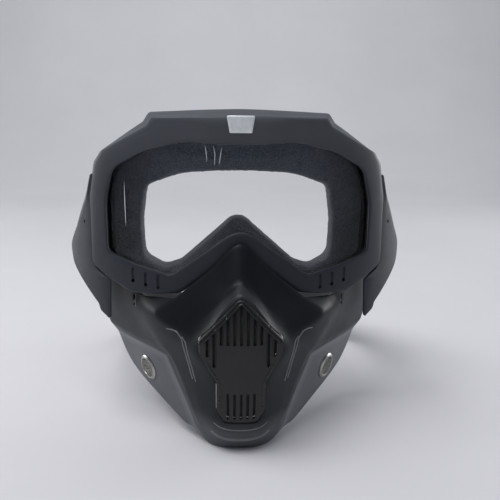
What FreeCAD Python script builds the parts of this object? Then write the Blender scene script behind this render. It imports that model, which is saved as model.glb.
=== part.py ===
"""Motorcycle goggles with a detachable face mask, as one parametric document. Millimetres.

+Z is up and the front faces -Y, so the wearer's left is +X. The origin lies midway between the
eyes, on the surface where the lining meets the face. The goggles stand on the mask's chin and on
the rear of the strap, which droops behind them.
"""
import FreeCAD, Part
import math
import os

from FreeCAD import Placement, Rotation, Vector

# Driving dimensions, each one a cell of the spreadsheet.
SIZES = {
    "curve_across": 110.0,      # half width of the ellipse that the front follows, seen from above
    "curve_deep": 90.0,         # its half depth
    "curve_centre": 38.0,       # how far behind the origin its centre lies
    "frame_wall": 2.2,
    "rim_depth": 10.0,          # how far the frame's outer rim reaches back
    "lens_thick": 1.6,
    "lens_lap": 3.0,            # how far the lens reaches past the aperture
    "gasket_thick": 1.5,
    "tunnel_gap": 4.0,          # from the aperture to the inside of the tunnel wall
    "tunnel_wall": 2.0,
    "flange_thick": 2.0,
    "face_curve": 128.0,        # radius of the face across the brow
    "foam_thick": 12.0,
    "lining_thick": 2.0,
    "vent_foam_thick": 2.0,
    "badge_thick": 1.0,
    "stud_reach": 14.0,         # how far behind the origin the strap turns
    "stud_drop": 2.0,           # and how far below it
    "stud_radius": 3.15,
    "stud_head": 5.5,
    "ear_inner": 90.0,          # where the wing's ear starts, from the middle
    "ear_thick": 2.3,
    "ear_radius": 8.0,
    "leg_offset": 94.0,         # middle of the strap's leg, from the middle
    "strap_wide": 40.0,
    "strap_thick": 2.2,
    "strap_length": 160.0,      # from the studs to the middle of the strap's rear
    "strap_corner": 45.0,
    "strap_droop": 41.0,        # degrees below level
    "clip_thick": 2.4,
    "clip_length": 30.0,
    "adjuster_place": 72.0,
    "adjuster_length": 15.0,
    "adjuster_thick": 6.0,
    "running_gap": 0.4,
    "mask_wall": 2.4,
    "beak_curve": 45.0,         # radius of the grille seen from above
    "beak_centre": 33.0,        # how far in front of the origin its centre lies
    "beak_barrel": 145.0,       # radius of the grille seen from the side
    "beak_height": 66.0,        # how far below the origin the grille stands proudest
    "grille_thick": 2.4,
    "grille_slot": 1.6,
    "grille_pitch": 3.5,
    "bezel_wide": 3.0,
    "filter_thick": 6.0,
    "cover_thick": 2.0,
    "ring_radius": 8.0,
    "ring_bore": 4.6,
    "ring_flange": 1.2,
    "mesh_thick": 0.6,
}

# Outlines seen from the front, for the wearer's left half, clockwise from the top: x, z, corner radius.
FRAME = [(0, 60.2, 300), (47.5, 59.2, 2.5), (50.5, 54.6, 2), (78.4, 39.8, 4), (83.2, 33.5, 6), (87.2, 14, 20),
         (87.2, -27, 5), (77.2, -32.4, 10), (62.5, -39.2, 5), (47, -38.9, 8), (33, -36.9, 8), (0, -12, 6)]
APERTURE = [(0, 44.4, 200), (30, 46.4, 35), (52, 41, 30), (70.5, 31, 12), (75.6, 12, 40), (75.4, -17.5, 4.5),
            (59.9, -22.1, 60), (38, -27, 7), (0, 1, 12)]
FACE_RING = [(0, 50.5, 200), (30, 52, 35), (54, 46.5, 30), (75.5, 35, 12), (81, 12, 40), (79, -26, 10),
             (63, -41, 20), (41, -44.5, 8), (0, -13, 10)]
EYE_OPENING = [(0, 29.2, 300), (34, 27, 60), (55.5, 18.8, 7), (58.9, -4, 60), (57.6, -26, 8), (44.5, -31.6, 8),
               (34.8, -27.6, 8), (0, 3.8, 9)]
SHIELD = [(0, -31, 4), (22.6, -55.5, 3), (22, -63.5, 4), (13.2, -78.5, 4), (13.2, -95, 4), (9, -102.5, 3)]
WING = [(84.6, 27.2, 0.3), (86.2, 26, 1), (89.3, 15, 15), (98.5, -6.5, 25), (106.5, -21, 10), (104, -31, 10),
        (83.6, -50.6, 1.5), (82.4, -54.4, 1), (77.7, -57.6, 1.2), (77.7, -32.35, 0.5), (87.35, -27.1, 5),
        (87.35, 14, 20)]
VENT_PAD = [(47, -60, -36.4), (62, 0, -32.4)]                                      # its lowest and highest corners
BADGE = [(7.5, 60), (5.9, 51)]

LOBE_VENTS = [(60.3, -24.3, -32.2), (52.8, -26.3, -33.6), (45.6, -26.9, -34.5)]    # x, groove top, hole
SLOT_TOPS = [-35, -38.2, -42.8, -46.5]      # of the grille's long slots, from the middle outwards
SLOT_FOOT = -57.1
OUTER_SLOTS = [(14.3, -50.7, -69.6), (17.9, -54.7, -64.2)]
LOWER_SLOTS = (-84.0, -100.0)

CHEEK_POINT = Vector(55, -19, -92)          # middle of the round cheek vent
CHEEK_NORMAL = Vector(0.79, -0.59, -0.17)

TUNNEL_FRONT = -56.0                        # planes between which the tunnel's walls run straight
TUNNEL_BACK = 30.0
FAR = 400.0

doc = FreeCAD.newDocument("Goggles")
sheet = doc.addObject("Spreadsheet::Sheet", "Sizes")
for row, (alias, value) in enumerate(SIZES.items(), start=1):
    sheet.set(f"A{row}", alias)
    sheet.set(f"B{row}", str(value))
    sheet.setAlias(f"B{row}", alias)
doc.recompute()

nodes = []


def size(alias):
    """The value of a spreadsheet cell."""
    return float(sheet.get(alias))


def bind(thing, **formulas):
    """Bind properties of an object to formulas of the spreadsheet's cells."""
    for name, formula in formulas.items():
        words = [f"Sizes.{word}" if word in SIZES else word for word in str(formula).split()]
        thing.setExpression(name, " ".join(words))


def node(name, thing):
    """Name a finished sub-part."""
    thing.Label = name
    nodes.append(thing)
    return thing


# Outlines

def mirrored(half):
    """A closed loop from its left half."""
    other = [(-x, z, radius) for x, z, radius in reversed(half) if x > 0]
    return half + other


def grown(loop, distance):
    """A clockwise loop with every side moved outwards."""
    count = len(loop)
    moved = []
    for i in range(count):
        x0, z0, radius = loop[i]
        x1, z1 = loop[(i + 1) % count][:2]
        length = math.hypot(x1 - x0, z1 - z0)
        dx = (x1 - x0) / length
        dz = (z1 - z0) / length
        moved.append((x0 - dz * distance, z0 + dx * distance, dx, dz))
    result = []
    for i in range(count):
        ax, az, adx, adz = moved[i - 1]
        bx, bz, bdx, bdz = moved[i]
        turn = adx * bdz - adz * bdx
        along = ((bx - ax) * bdz - (bz - az) * bdx) / turn
        outward = distance if turn < 0 else -distance
        result.append((ax + adx * along, az + adz * along, max(loop[i][2] + outward, 0.4)))
    return result


def rounded(loop):
    """Lines and arcs of a closed loop in the sketch's own plane."""
    count = len(loop)
    arcs = []
    for i in range(count):
        corner = Vector(loop[i][0], loop[i][1], 0)
        before = (corner - Vector(loop[i - 1][0], loop[i - 1][1], 0)).normalize()
        after = (Vector(loop[(i + 1) % count][0], loop[(i + 1) % count][1], 0) - corner).normalize()
        turn = before.getAngle(after)
        tangent = loop[i][2] * math.tan(turn / 2)
        start = corner - before * tangent
        end = corner + after * tangent
        inward = (after - before).normalize()
        middle = corner + inward * (loop[i][2] / math.cos(turn / 2) - loop[i][2])
        arcs.append((start, middle, end))
    pieces = []
    for i in range(count):
        start, middle, end = arcs[i]
        pieces.append(Part.Arc(start, middle, end))
        pieces.append(Part.LineSegment(end, arcs[(i + 1) % count][0]))
    return pieces


def polygon(points):
    """Lines of a closed polygon in the sketch's own plane."""
    corners = [Vector(x, y, 0) for x, y in points]
    return [Part.LineSegment(corners[i - 1], corners[i]) for i in range(len(corners))]


# Building blocks of the Part kind

def prism(name, loop, back=36.0):
    """A solid that runs forwards from back with the given outline seen from the front."""
    outline = doc.addObject("Sketcher::SketchObject", name + "_outline")
    outline.Placement = Placement(Vector(0, back, 0), Rotation(Vector(1, 0, 0), 90))
    outline.addGeometry(rounded(loop), False)
    block = doc.addObject("Part::Extrusion", name)
    block.Base = outline
    block.DirMode = "Custom"
    block.Dir = Vector(0, -1, 0)
    block.LengthFwd = FAR
    block.Solid = True
    return block


def funnel(name, front_loop, face_loop):
    """A straight-sided solid from one outline at the lens to another behind the face."""
    loops = []
    for i, (loop, place) in enumerate(((front_loop, TUNNEL_FRONT), (face_loop, TUNNEL_BACK))):
        outline = doc.addObject("Sketcher::SketchObject", f"{name}_outline_{i}")
        outline.Placement = Placement(Vector(0, place, 0), Rotation(Vector(1, 0, 0), 90))
        outline.addGeometry(rounded(loop), False)
        loops.append(outline)
    block = doc.addObject("Part::Loft", name)
    block.Sections = loops
    block.Solid = True
    block.Ruled = True
    return block


def joined(name, kind, base, tool):
    """A Part::Cut or Part::Common of two objects."""
    result = doc.addObject("Part::" + kind, name)
    result.Base = base
    result.Tool = tool
    return result


def fused(name, shapes):
    """A Part::MultiFuse of several objects."""
    result = doc.addObject("Part::MultiFuse", name)
    result.Shapes = shapes
    return result


def grouped(name, links):
    """A Part::Compound of several separate solids."""
    result = doc.addObject("Part::Compound", name)
    result.Links = links
    return result


def box(name, low, high):
    """A Part::Box between two corners, given as numbers."""
    block = doc.addObject("Part::Box", name)
    block.Length = high[0] - low[0]
    block.Width = high[1] - low[1]
    block.Height = high[2] - low[2]
    block.Placement.Base = Vector(*low)
    return block


def mirror_image(name, source):
    """The same piece on the wearer's right."""
    image = doc.addObject("Part::Mirroring", name)
    image.Source = source
    image.Normal = Vector(1, 0, 0)
    return image


def column(name, inset):
    """The solid inside the curve that the front follows, set back by a formula."""
    curve = doc.addObject("Part::Ellipse", name + "_curve")
    bind(curve, MajorRadius=f"curve_across - ( {inset} )", MinorRadius=f"curve_deep - ( {inset} )")
    curve.Placement.Base = Vector(0, size("curve_centre"), -FAR / 2)
    block = doc.addObject("Part::Extrusion", name)
    block.Base = curve
    block.DirMode = "Custom"
    block.Dir = Vector(0, 0, 1)
    block.LengthFwd = FAR
    block.Solid = True
    return block


def head(name, offset):
    """The solid of the face's curve, grown by a formula."""
    block = doc.addObject("Part::Cylinder", name)
    bind(block, Radius=f"face_curve + {offset}")
    block.Height = FAR
    block.Placement.Base = Vector(0, size("face_curve"), -FAR / 2)
    return block


def barrel(name, radius):
    """The solid of the beak's curve, bulging both ways, with a radius given as a number."""
    reach = 42.0
    sag = reach * reach / (2 * size("beak_barrel"))
    profile = doc.addObject("Sketcher::SketchObject", name + "_profile")
    profile.Placement = Placement(Vector(0, -size("beak_centre"), -size("beak_height")),
                                  Rotation(Vector(1, 0, 0), 90))
    top = Vector(radius - sag, reach, 0)
    foot = Vector(radius - sag, -reach, 0)
    profile.addGeometry([Part.Arc(top, Vector(radius, 0, 0), foot),
                         Part.LineSegment(foot, Vector(0, -reach, 0)),
                         Part.LineSegment(Vector(0, -reach, 0), Vector(0, reach, 0)),
                         Part.LineSegment(Vector(0, reach, 0), top)], False)
    block = doc.addObject("Part::Revolution", name)
    block.Source = profile
    block.Base = Vector(0, -size("beak_centre"), 0)
    block.Axis = Vector(0, 0, 1)
    block.Angle = 360
    block.Solid = True
    return block


# Building blocks of the PartDesign kind

def new_body(name):
    return doc.addObject("PartDesign::Body", name)


def body_sketch(body, role, pieces):
    """A sketch on one of the body's own origin planes."""
    sketch = body.newObject("Sketcher::SketchObject", f"{body.Name}_{role[:2]}{len(body.Group)}")
    plane = next(feature for feature in body.Origin.OriginFeatures if feature.Role == role)
    sketch.AttachmentSupport = [(plane, "")]
    sketch.MapMode = "FlatFace"
    sketch.addGeometry(pieces, False)
    return sketch


def pad(body, sketch, length, symmetric=False):
    """Pad a sketch by a formula."""
    feature = body.newObject("PartDesign::Pad", body.Name + "_pad")
    feature.Profile = sketch
    if symmetric:
        feature.SideType = "Symmetric"
    bind(feature, Length=length)
    return feature


def pocket(body, sketch):
    """Cut a sketch through the whole body, both ways, and see that it cuts."""
    doc.recompute()
    before = body.Shape.Volume
    feature = body.newObject("PartDesign::Pocket", body.Name + "_pocket")
    feature.Profile = sketch
    feature.SideType = "Symmetric"
    feature.Length = FAR
    doc.recompute()
    if body.Shape.Volume > before - 1e-3:
        raise RuntimeError(f"{feature.Name} cuts nothing")
    return feature


def revolve(body, sketch):
    """Turn a sketch about the body's own Z axis."""
    feature = body.newObject("PartDesign::Revolution", body.Name + "_revolution")
    feature.Profile = sketch
    feature.ReferenceAxis = (sketch, ["V_Axis"])
    feature.Angle = 360
    return feature


def strap_placement():
    """From the strap's own frame, with its legs along +Y from the studs, to where it droops."""
    return Placement(Vector(0, size("stud_reach"), -size("stud_drop")),
                     Rotation(Vector(1, 0, 0), -size("strap_droop")))


# The goggles

def make_front_frame(outline, aperture):
    """Curved front, outer rim, and the vent grooves and holes of the two lobes."""
    sheet_band = joined("front_band", "Cut", column("front_skin", "0"), column("front_back", "frame_wall"))
    openwork = joined("front_ring", "Cut", prism("frame_block", outline), prism("aperture_block", aperture))
    face = joined("front_face", "Common", sheet_band, openwork)
    deep_band = joined("rim_band", "Cut", column("rim_skin", "0"), column("rim_back", "rim_depth"))
    edge = joined("rim_ring", "Cut", prism("rim_block", outline),
                  prism("rim_inside", grown(outline, -size("frame_wall"))))
    rim = joined("front_rim", "Common", deep_band, edge)
    solid = fused("front_solid", [face, rim])
    cutters = []
    for side in (1, -1):
        for i, (x, top, hole) in enumerate(LOBE_VENTS):
            tag = f"{i}_{'left' if side > 0 else 'right'}"
            front = size("curve_centre") - size("curve_deep") * math.sqrt(1 - (x / size("curve_across")) ** 2)
            cutters.append(box("groove_" + tag, (side * x - 0.8, front - 4, hole + 1.6),
                               (side * x + 0.8, front + 0.9, top)))
            drill = doc.addObject("Part::Cylinder", "vent_hole_" + tag)
            drill.Radius = 1.1
            drill.Height = 16
            drill.Placement = Placement(Vector(side * x, front - 4, hole), Rotation(Vector(1, 0, 0), -90))
            cutters.append(drill)
    return node("front_frame", joined("front_frame", "Cut", solid, grouped("lobe_vents", cutters)))


def tunnel_block(name, aperture, offset):
    """The space inside the tunnel's outer face, moved outwards by the offset."""
    outside = size("tunnel_gap") + size("tunnel_wall")
    return funnel(name, grown(aperture, outside + offset), grown(mirrored(FACE_RING), offset))


def make_rear_frame(aperture, eye_opening):
    """Tunnel wall from the front to the foam, its flange, and the slots of the top vent."""
    ring = joined("tunnel_ring", "Cut", tunnel_block("tunnel_outside", aperture, 0),
                  tunnel_block("tunnel_inside", aperture, -size("tunnel_wall")))
    reach = joined("tunnel_reach", "Cut", column("tunnel_front", "frame_wall"),
                   head("tunnel_back", "foam_thick + lining_thick"))
    tunnel = joined("tunnel", "Common", ring, reach)
    plate = joined("flange_plate", "Cut", head("flange_front", "foam_thick + lining_thick + flange_thick"),
                   head("flange_back", "foam_thick + lining_thick"))
    plate_ring = joined("flange_ring", "Cut", tunnel_block("flange_outside", aperture, 0),
                        prism("flange_inside", grown(eye_opening, 4)))
    flange = joined("flange", "Common", plate, plate_ring)
    solid = fused("rear_solid", [tunnel, flange])
    slots = [box(f"top_vent_{i}", (x - 5.5, -40, 40), (x + 5.5, -26, 60))
             for i, x in enumerate((-32, -16, 0, 16, 32))]
    return node("rear_frame", joined("rear_frame", "Cut", solid, grouped("top_vents", slots)))


def make_lens(aperture):
    """Clear lens and the gasket behind its edge."""
    lap = grown(aperture, size("lens_lap"))
    sheet_band = joined("lens_band", "Cut", column("lens_front", "frame_wall"),
                        column("lens_back", "frame_wall + lens_thick"))
    lens = node("lens", joined("lens", "Common", sheet_band, prism("lens_block", lap)))
    ring = joined("gasket_ring", "Cut", prism("gasket_outside", lap), prism("gasket_inside", grown(aperture, 0.3)))
    gasket_band = joined("gasket_band", "Cut", column("gasket_front", "frame_wall + lens_thick"),
                         column("gasket_back", "frame_wall + lens_thick + gasket_thick"))
    node("lens_gasket", joined("lens_gasket", "Common", gasket_band, ring))
    return lens


def make_foams(aperture, eye_opening):
    """Thick face foam on the flange, and the lining on it."""
    layers = [("face_foam", "lining_thick", "foam_thick + lining_thick", -0.5, 0),
              ("foam_lining", "0", "lining_thick", -1.0, 0.8)]
    for name, back, front, outer, inner in layers:
        shell = joined(name + "_shell", "Cut", head(name + "_front", front), head(name + "_back", back))
        ring = joined(name + "_ring", "Cut", tunnel_block(name + "_outside", aperture, outer),
                      prism(name + "_inside", grown(eye_opening, inner)))
        node(name, joined(name, "Common", shell, ring))


def make_vent_foams(aperture):
    """Filter foam over the top vent and behind the vents of the lobes."""
    ring = joined("top_foam_ring", "Cut", tunnel_block("top_foam_outside", aperture, size("vent_foam_thick")),
                  tunnel_block("top_foam_inside", aperture, 0))
    node("vent_foam_top", joined("vent_foam_top", "Common", ring,
                                 box("top_foam_limit", (-41, -42, 40), (41, -22, 70))))
    band = joined("lobe_foam_band", "Cut", column("lobe_foam_front", "frame_wall"),
                  column("lobe_foam_back", "frame_wall + vent_foam_thick"))
    block = joined("lobe_foam_space", "Cut", box("lobe_foam_block", *VENT_PAD),
                   tunnel_block("lobe_foam_limit", aperture, 0))
    left = joined("lobe_foam", "Common", band, block)
    node("vent_foam_left", left)
    node("vent_foam_right", mirror_image("lobe_foam_right", left))


def make_badge():
    """Plain trapezoid plate on the brow."""
    body = new_body("badge_body")
    (top_half, top), (low_half, low) = BADGE
    corners = [(-top_half, top), (top_half, top), (low_half, low), (-low_half, low)]
    pad(body, body_sketch(body, "XZ_Plane", polygon(corners)), "badge_thick")
    body.Placement.Base = Vector(0, size("curve_centre") - size("curve_deep"), 0)
    node("brow_badge", body)


def make_wings():
    """Outriggers with the ears that the studs go through."""
    band = joined("wing_band", "Cut", column("wing_skin", "0"), column("wing_back", "frame_wall"))
    plate = joined("wing_plate", "Common", band, prism("wing_block", WING))
    low = size("ear_inner")
    thick = size("ear_thick")
    radius = size("ear_radius")
    back = size("stud_reach")
    drop = -size("stud_drop")
    arm = box("ear_arm", (low, -10.2, drop - radius), (low + thick, back, drop + radius))
    boss = doc.addObject("Part::Cylinder", "ear_boss")
    bind(boss, Radius="ear_radius", Height="ear_thick")
    boss.Placement = Placement(Vector(low, back, drop), Rotation(Vector(0, 1, 0), 90))
    drill = doc.addObject("Part::Cylinder", "ear_hole")
    bind(drill, Radius="stud_radius")
    drill.Height = 20
    drill.Placement = Placement(Vector(low - 5, back, drop), Rotation(Vector(0, 1, 0), 90))
    left = joined("wing", "Cut", fused("wing_solid", [plate, arm, boss]), drill)
    node("wing_left", left)
    node("wing_right", mirror_image("wing_mirror", left))


def make_studs():
    """Headed rivets that the strap clips turn on."""
    shaft = size("stud_radius")
    top = size("stud_head")
    under = size("leg_offset") + size("clip_thick") / 2 + 0.3 - size("ear_inner")
    points = [(0, 0), (shaft, 0), (shaft, under), (top, under), (top, under + 1), (top - 1, under + 1.6),
              (0, under + 1.6)]
    body = new_body("stud_body")
    revolve(body, body_sketch(body, "XZ_Plane", polygon(points)))
    body.Placement = Placement(Vector(size("ear_inner"), size("stud_reach"), -size("stud_drop")),
                               Rotation(Vector(0, 1, 0), 90))
    node("strap_stud_left", body)
    node("strap_stud_right", mirror_image("stud_mirror", body))


def make_hooks(aperture):
    """Blades that go down from the tunnel, inside the mask's arms."""
    blade = box("hook_blade", (60, -15, -50), (65, -13.4, -25))
    left = joined("hook", "Cut", blade, tunnel_block("hook_limit", aperture, 0))
    node("frame_hook_left", left)
    node("frame_hook_right", mirror_image("hook_mirror", left))


# The strap, in its own frame with the studs' axis on X and the legs along +Y

def make_clips():
    """Swivel plates with a bore for the stud and a slot for the webbing."""
    tip = 9.0
    half = size("strap_wide") / 2 + 3
    end = size("clip_length")
    outline = [(-tip, -tip, tip * 0.9), (-tip, tip, tip * 0.9), (4, tip, 4), (13, half, 5), (end, half, 3),
               (end, -half, 3), (13, -half, 5), (4, -tip, 4)]
    bar = 5.0
    slot = 4.0
    half_slot = size("strap_wide") / 2 + 0.5
    window = [(end - bar - slot, half_slot), (end - bar, half_slot), (end - bar, -half_slot),
              (end - bar - slot, -half_slot)]
    bore = Part.Circle(Vector(0, 0, 0), Vector(0, 0, 1), size("stud_radius") + 0.05)
    body = new_body("clip_body")
    pad(body, body_sketch(body, "YZ_Plane", rounded(outline)), "clip_thick", symmetric=True)
    pocket(body, body_sketch(body, "YZ_Plane", polygon(window)))
    pocket(body, body_sketch(body, "YZ_Plane", [bore]))
    place = strap_placement()
    body.Placement = Placement(place.Base + Vector(size("leg_offset"), 0, 0), place.Rotation)
    node("strap_clip_left", body)
    node("strap_clip_right", mirror_image("clip_mirror", body))


def make_webbing():
    """Two straight legs, the curved rear, and three grip lines inside the rear."""
    turn = size("strap_length") - size("strap_corner")
    place = strap_placement()
    for side, name in ((1, "left"), (-1, "right")):
        leg = doc.addObject("Part::Box", "web_" + name)
        bind(leg, Length="strap_thick", Height="strap_wide",
             Width="strap_length - strap_corner - clip_length")
        low = Vector(side * size("leg_offset") - size("strap_thick") / 2, size("clip_length"),
                     -size("strap_wide") / 2)
        leg.Placement = Placement(place.multVec(low), place.Rotation)
        node("strap_web_" + name, leg)
    body = new_body("rear_body")
    pieces = []
    centre = size("leg_offset") - size("strap_corner")
    ends = []
    for side in (1, -1):
        for offset in (size("strap_thick") / 2, -size("strap_thick") / 2):
            radius = size("strap_corner") + offset
            begin = Vector(side * (centre + radius), turn, 0)
            finish = Vector(side * centre, turn + radius, 0)
            middle = Vector(side * (centre + radius * math.sqrt(0.5)), turn + radius * math.sqrt(0.5), 0)
            pieces.append(Part.Arc(begin, middle, finish))
            ends.append((begin, finish))
    for i in (0, 1):
        pieces.append(Part.LineSegment(ends[i][1], ends[i + 2][1]))
    for i in (0, 2):
        pieces.append(Part.LineSegment(ends[i][0], ends[i + 1][0]))
    pad(body, body_sketch(body, "XY_Plane", pieces), "strap_wide", symmetric=True)
    body.Placement = place
    node("strap_rear", body)
    inside = size("strap_length") - size("strap_thick") / 2
    lines = []
    for i, height in enumerate((-12, 0, 12)):
        line = box(f"grip_line_{i}", (-centre, inside - 0.6, height - 1.5), (centre, inside, height + 1.5))
        line.Placement = place.multiply(line.Placement)
        lines.append(line)
    node("silicone_grips", grouped("grip_lines", lines))


def make_adjusters():
    """Sliders that run on the legs."""
    half_thick = size("adjuster_thick") / 2
    half_tall = size("strap_wide") / 2 + 4.5
    gap = size("strap_thick") / 2 + size("running_gap")
    half_slot = size("strap_wide") / 2 + size("running_gap")
    outline = [(-half_thick, half_tall, 1.5), (half_thick, half_tall, 1.5), (half_thick, -half_tall, 1.5),
               (-half_thick, -half_tall, 1.5)]
    window = [(-gap, half_slot), (gap, half_slot), (gap, -half_slot), (-gap, -half_slot)]
    body = new_body("adjuster_body")
    pad(body, body_sketch(body, "XZ_Plane", rounded(outline)), "adjuster_length", symmetric=True)
    pocket(body, body_sketch(body, "XZ_Plane", polygon(window)))
    place = strap_placement()
    centre = Vector(size("leg_offset"), size("adjuster_place"), 0)
    body.Placement = Placement(place.multVec(centre), place.Rotation)
    node("adjuster_left", body)
    node("adjuster_right", mirror_image("adjuster_mirror", body))


# The mask

def cheek(x, z):
    """A point on the flat cheek that the round vent sits in."""
    y = CHEEK_POINT.y - (CHEEK_NORMAL.x * (x - CHEEK_POINT.x) + CHEEK_NORMAL.z * (z - CHEEK_POINT.z)) / CHEEK_NORMAL.y
    return (x, y, z)


def mask_grid():
    """The outer surface of the left half, row by row from the top edge to the chin.

    Each row runs from the middle to the jaw: beak, crease, ledge above the cheek, cheek, jaw, inner lip.
    """
    return [
        # top edge: the V over the nose, then up to the arm behind the lobe
        [(0, -56, -7), (12, -55.3, -17.5), (24, -54, -28), (36, -51.5, -38.4), (46.5, -42, -40.2),
         (57, -32, -41.2), (69, -14.5, -37.5), (77, -6, -34), (84, 5, -33), (81, 13, -34)],
        # top of the shelf over the grille, crease corner, arm
        [(0, -65, -26), (8.5, -65.5, -36), (17, -66, -46.4), (32.5, -60.5, -53.6), (48, -48, -49.5),
         (57, -34.5, -52), (67.5, -19, -52.5), (77, -7, -51.5), (85, 5, -50), (82, 14, -50)],
        # edge of the grille, arm's lower edge
        [(0, -74, -31.4), (11.5, -73.5, -42.5), (22.4, -70.5, -56.9), (31, -61.5, -61), (43.5, -44.5, -69),
         (49.5, -36, -69.8), (61, -21, -71), (72, -7, -71), (81.5, 5, -69.5), (77, 14, -68)],
        # middle of the grille, foot of the ledge
        [(0, -77.5, -57), (11.5, -76, -62), (21, -71.5, -66), (28.5, -62, -70), (38.5, -49, -74),
         cheek(42, -75.5), cheek(57, -77), cheek(68, -77.5), (76.5, 5.5, -77), (71, 14, -76)],
        # beak below the grille's shoulders, middle of the cheek
        [(0, -77.5, -80), (9, -76.8, -80), (14.5, -74.5, -79), (25.5, -62.5, -82), (32.5, -53.5, -86),
         cheek(36, -87), cheek(49, -90.5), cheek(60, -93), (66.8, -3, -95), (60, 8, -93)],
        # foot of the grille, end of the cheek
        [(0, -74.2, -101), (8, -73.8, -100.6), (14.5, -71, -98), (22.5, -63, -98.5), (27, -56.6, -101),
         cheek(29.5, -102), cheek(37.5, -104), cheek(44.5, -105.5), (49.5, -22.5, -107), (43, -10, -105.5)],
        # front of the chin
        [(0, -70, -112), (8, -69.5, -111.6), (14.5, -66.5, -110.6), (19, -62, -110.8), (22, -58.5, -112),
         (24, -56, -112.5), (27, -52, -113), (30, -48, -113.8), (32.5, -44.5, -114.8), (28, -33, -113.5)],
        # lower edge of the chin
        [(0, -62.5, -122.8), (7, -62, -122.8), (12.5, -60.8, -122.4), (16.5, -58.8, -121.6),
         (19, -56.8, -120.8), (20.5, -55, -120.2), (22.5, -52.5, -119.2), (24.5, -50, -118.2),
         (26.5, -47, -117.4), (23.5, -37, -116)],
        # inner lip under the chin
        [(0, -46, -122.8), (6, -45.7, -122.6), (10.5, -45, -122), (14, -43.8, -121), (16, -42.6, -120.2),
         (17.2, -41.6, -119.5), (18.8, -40.4, -118.6), (20.2, -39.2, -117.8), (21.4, -38, -117.1),
         (20.5, -36, -116.2)],
    ]


def grid_normal(grid, row, col):
    """The outward direction at a point of the grid, from the points around it."""
    rows = len(grid)
    cols = len(grid[0])
    across = grid[row][min(col + 1, cols - 1)] - grid[row][max(col - 1, 0)]
    down = grid[min(row + 1, rows - 1)][col] - grid[max(row - 1, 0)][col]
    return across.cross(down).normalize() * -1


def make_mask_shell(shield):
    """The moulded shell: the outer grid, the same grid one wall further in, and the edge between."""
    half = [[Vector(*point) for point in row] for row in mask_grid()]
    outer = [[Vector(-p.x, p.y, p.z) for p in reversed(row[1:])] + row for row in half]
    rows = len(outer)
    cols = len(outer[0])
    wall = size("mask_wall")
    inner = [[outer[r][c] - grid_normal(outer, r, c) * wall for c in range(cols)] for r in range(rows)]
    faces = []

    def quad(a, b, c, d, right_half=False):
        triangles = ((b, c, d), (b, d, a)) if right_half else ((a, b, c), (a, c, d))
        for corners in triangles:
            faces.append(Part.Face(Part.makePolygon(list(corners) + [corners[0]])))

    for r in range(rows - 1):
        for c in range(cols - 1):
            right = c < cols // 2
            quad(outer[r][c], outer[r + 1][c], outer[r + 1][c + 1], outer[r][c + 1], right)
            quad(inner[r][c + 1], inner[r + 1][c + 1], inner[r + 1][c], inner[r][c], not right)
    for c in range(cols - 1):
        quad(outer[0][c], outer[0][c + 1], inner[0][c + 1], inner[0][c])
        quad(outer[rows - 1][c], inner[rows - 1][c], inner[rows - 1][c + 1], outer[rows - 1][c + 1])
    for r in range(rows - 1):
        quad(outer[r][0], inner[r][0], inner[r + 1][0], outer[r + 1][0])
        quad(outer[r][cols - 1], outer[r + 1][cols - 1], inner[r + 1][cols - 1], inner[r][cols - 1])
    solid = Part.Solid(Part.Shell(faces))
    if solid.Volume < 0:
        solid.reverse()
    moulding = doc.addObject("Part::Feature", "mask_moulding")
    moulding.Shape = solid
    opening = joined("grille_opening", "Common", prism("opening_block", grown(shield, 0.2)),
                     box("opening_depth", (-40, -90, -110), (40, -60, -20)))
    holes = [opening]
    for side in (1, -1):
        drill = doc.addObject("Part::Cylinder", f"cheek_hole_{'left' if side > 0 else 'right'}")
        bind(drill, Radius="ring_bore + 1")
        drill.Height = 20
        normal = Vector(side * CHEEK_NORMAL.x, CHEEK_NORMAL.y, CHEEK_NORMAL.z)
        centre = Vector(side * CHEEK_POINT.x, CHEEK_POINT.y, CHEEK_POINT.z)
        drill.Placement = Placement(centre - normal * 10, Rotation(Vector(0, 0, 1), normal))
        holes.append(drill)
        slit = box(f"arm_slit_{'left' if side > 0 else 'right'}",
                   (side * 61.6 - 0.9, -40, -49.5), (side * 61.6 + 0.9, -14, -43))
        holes.append(slit)
    node("mask_shell", joined("mask_shell", "Cut", moulding, grouped("mask_holes", holes)))


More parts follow.
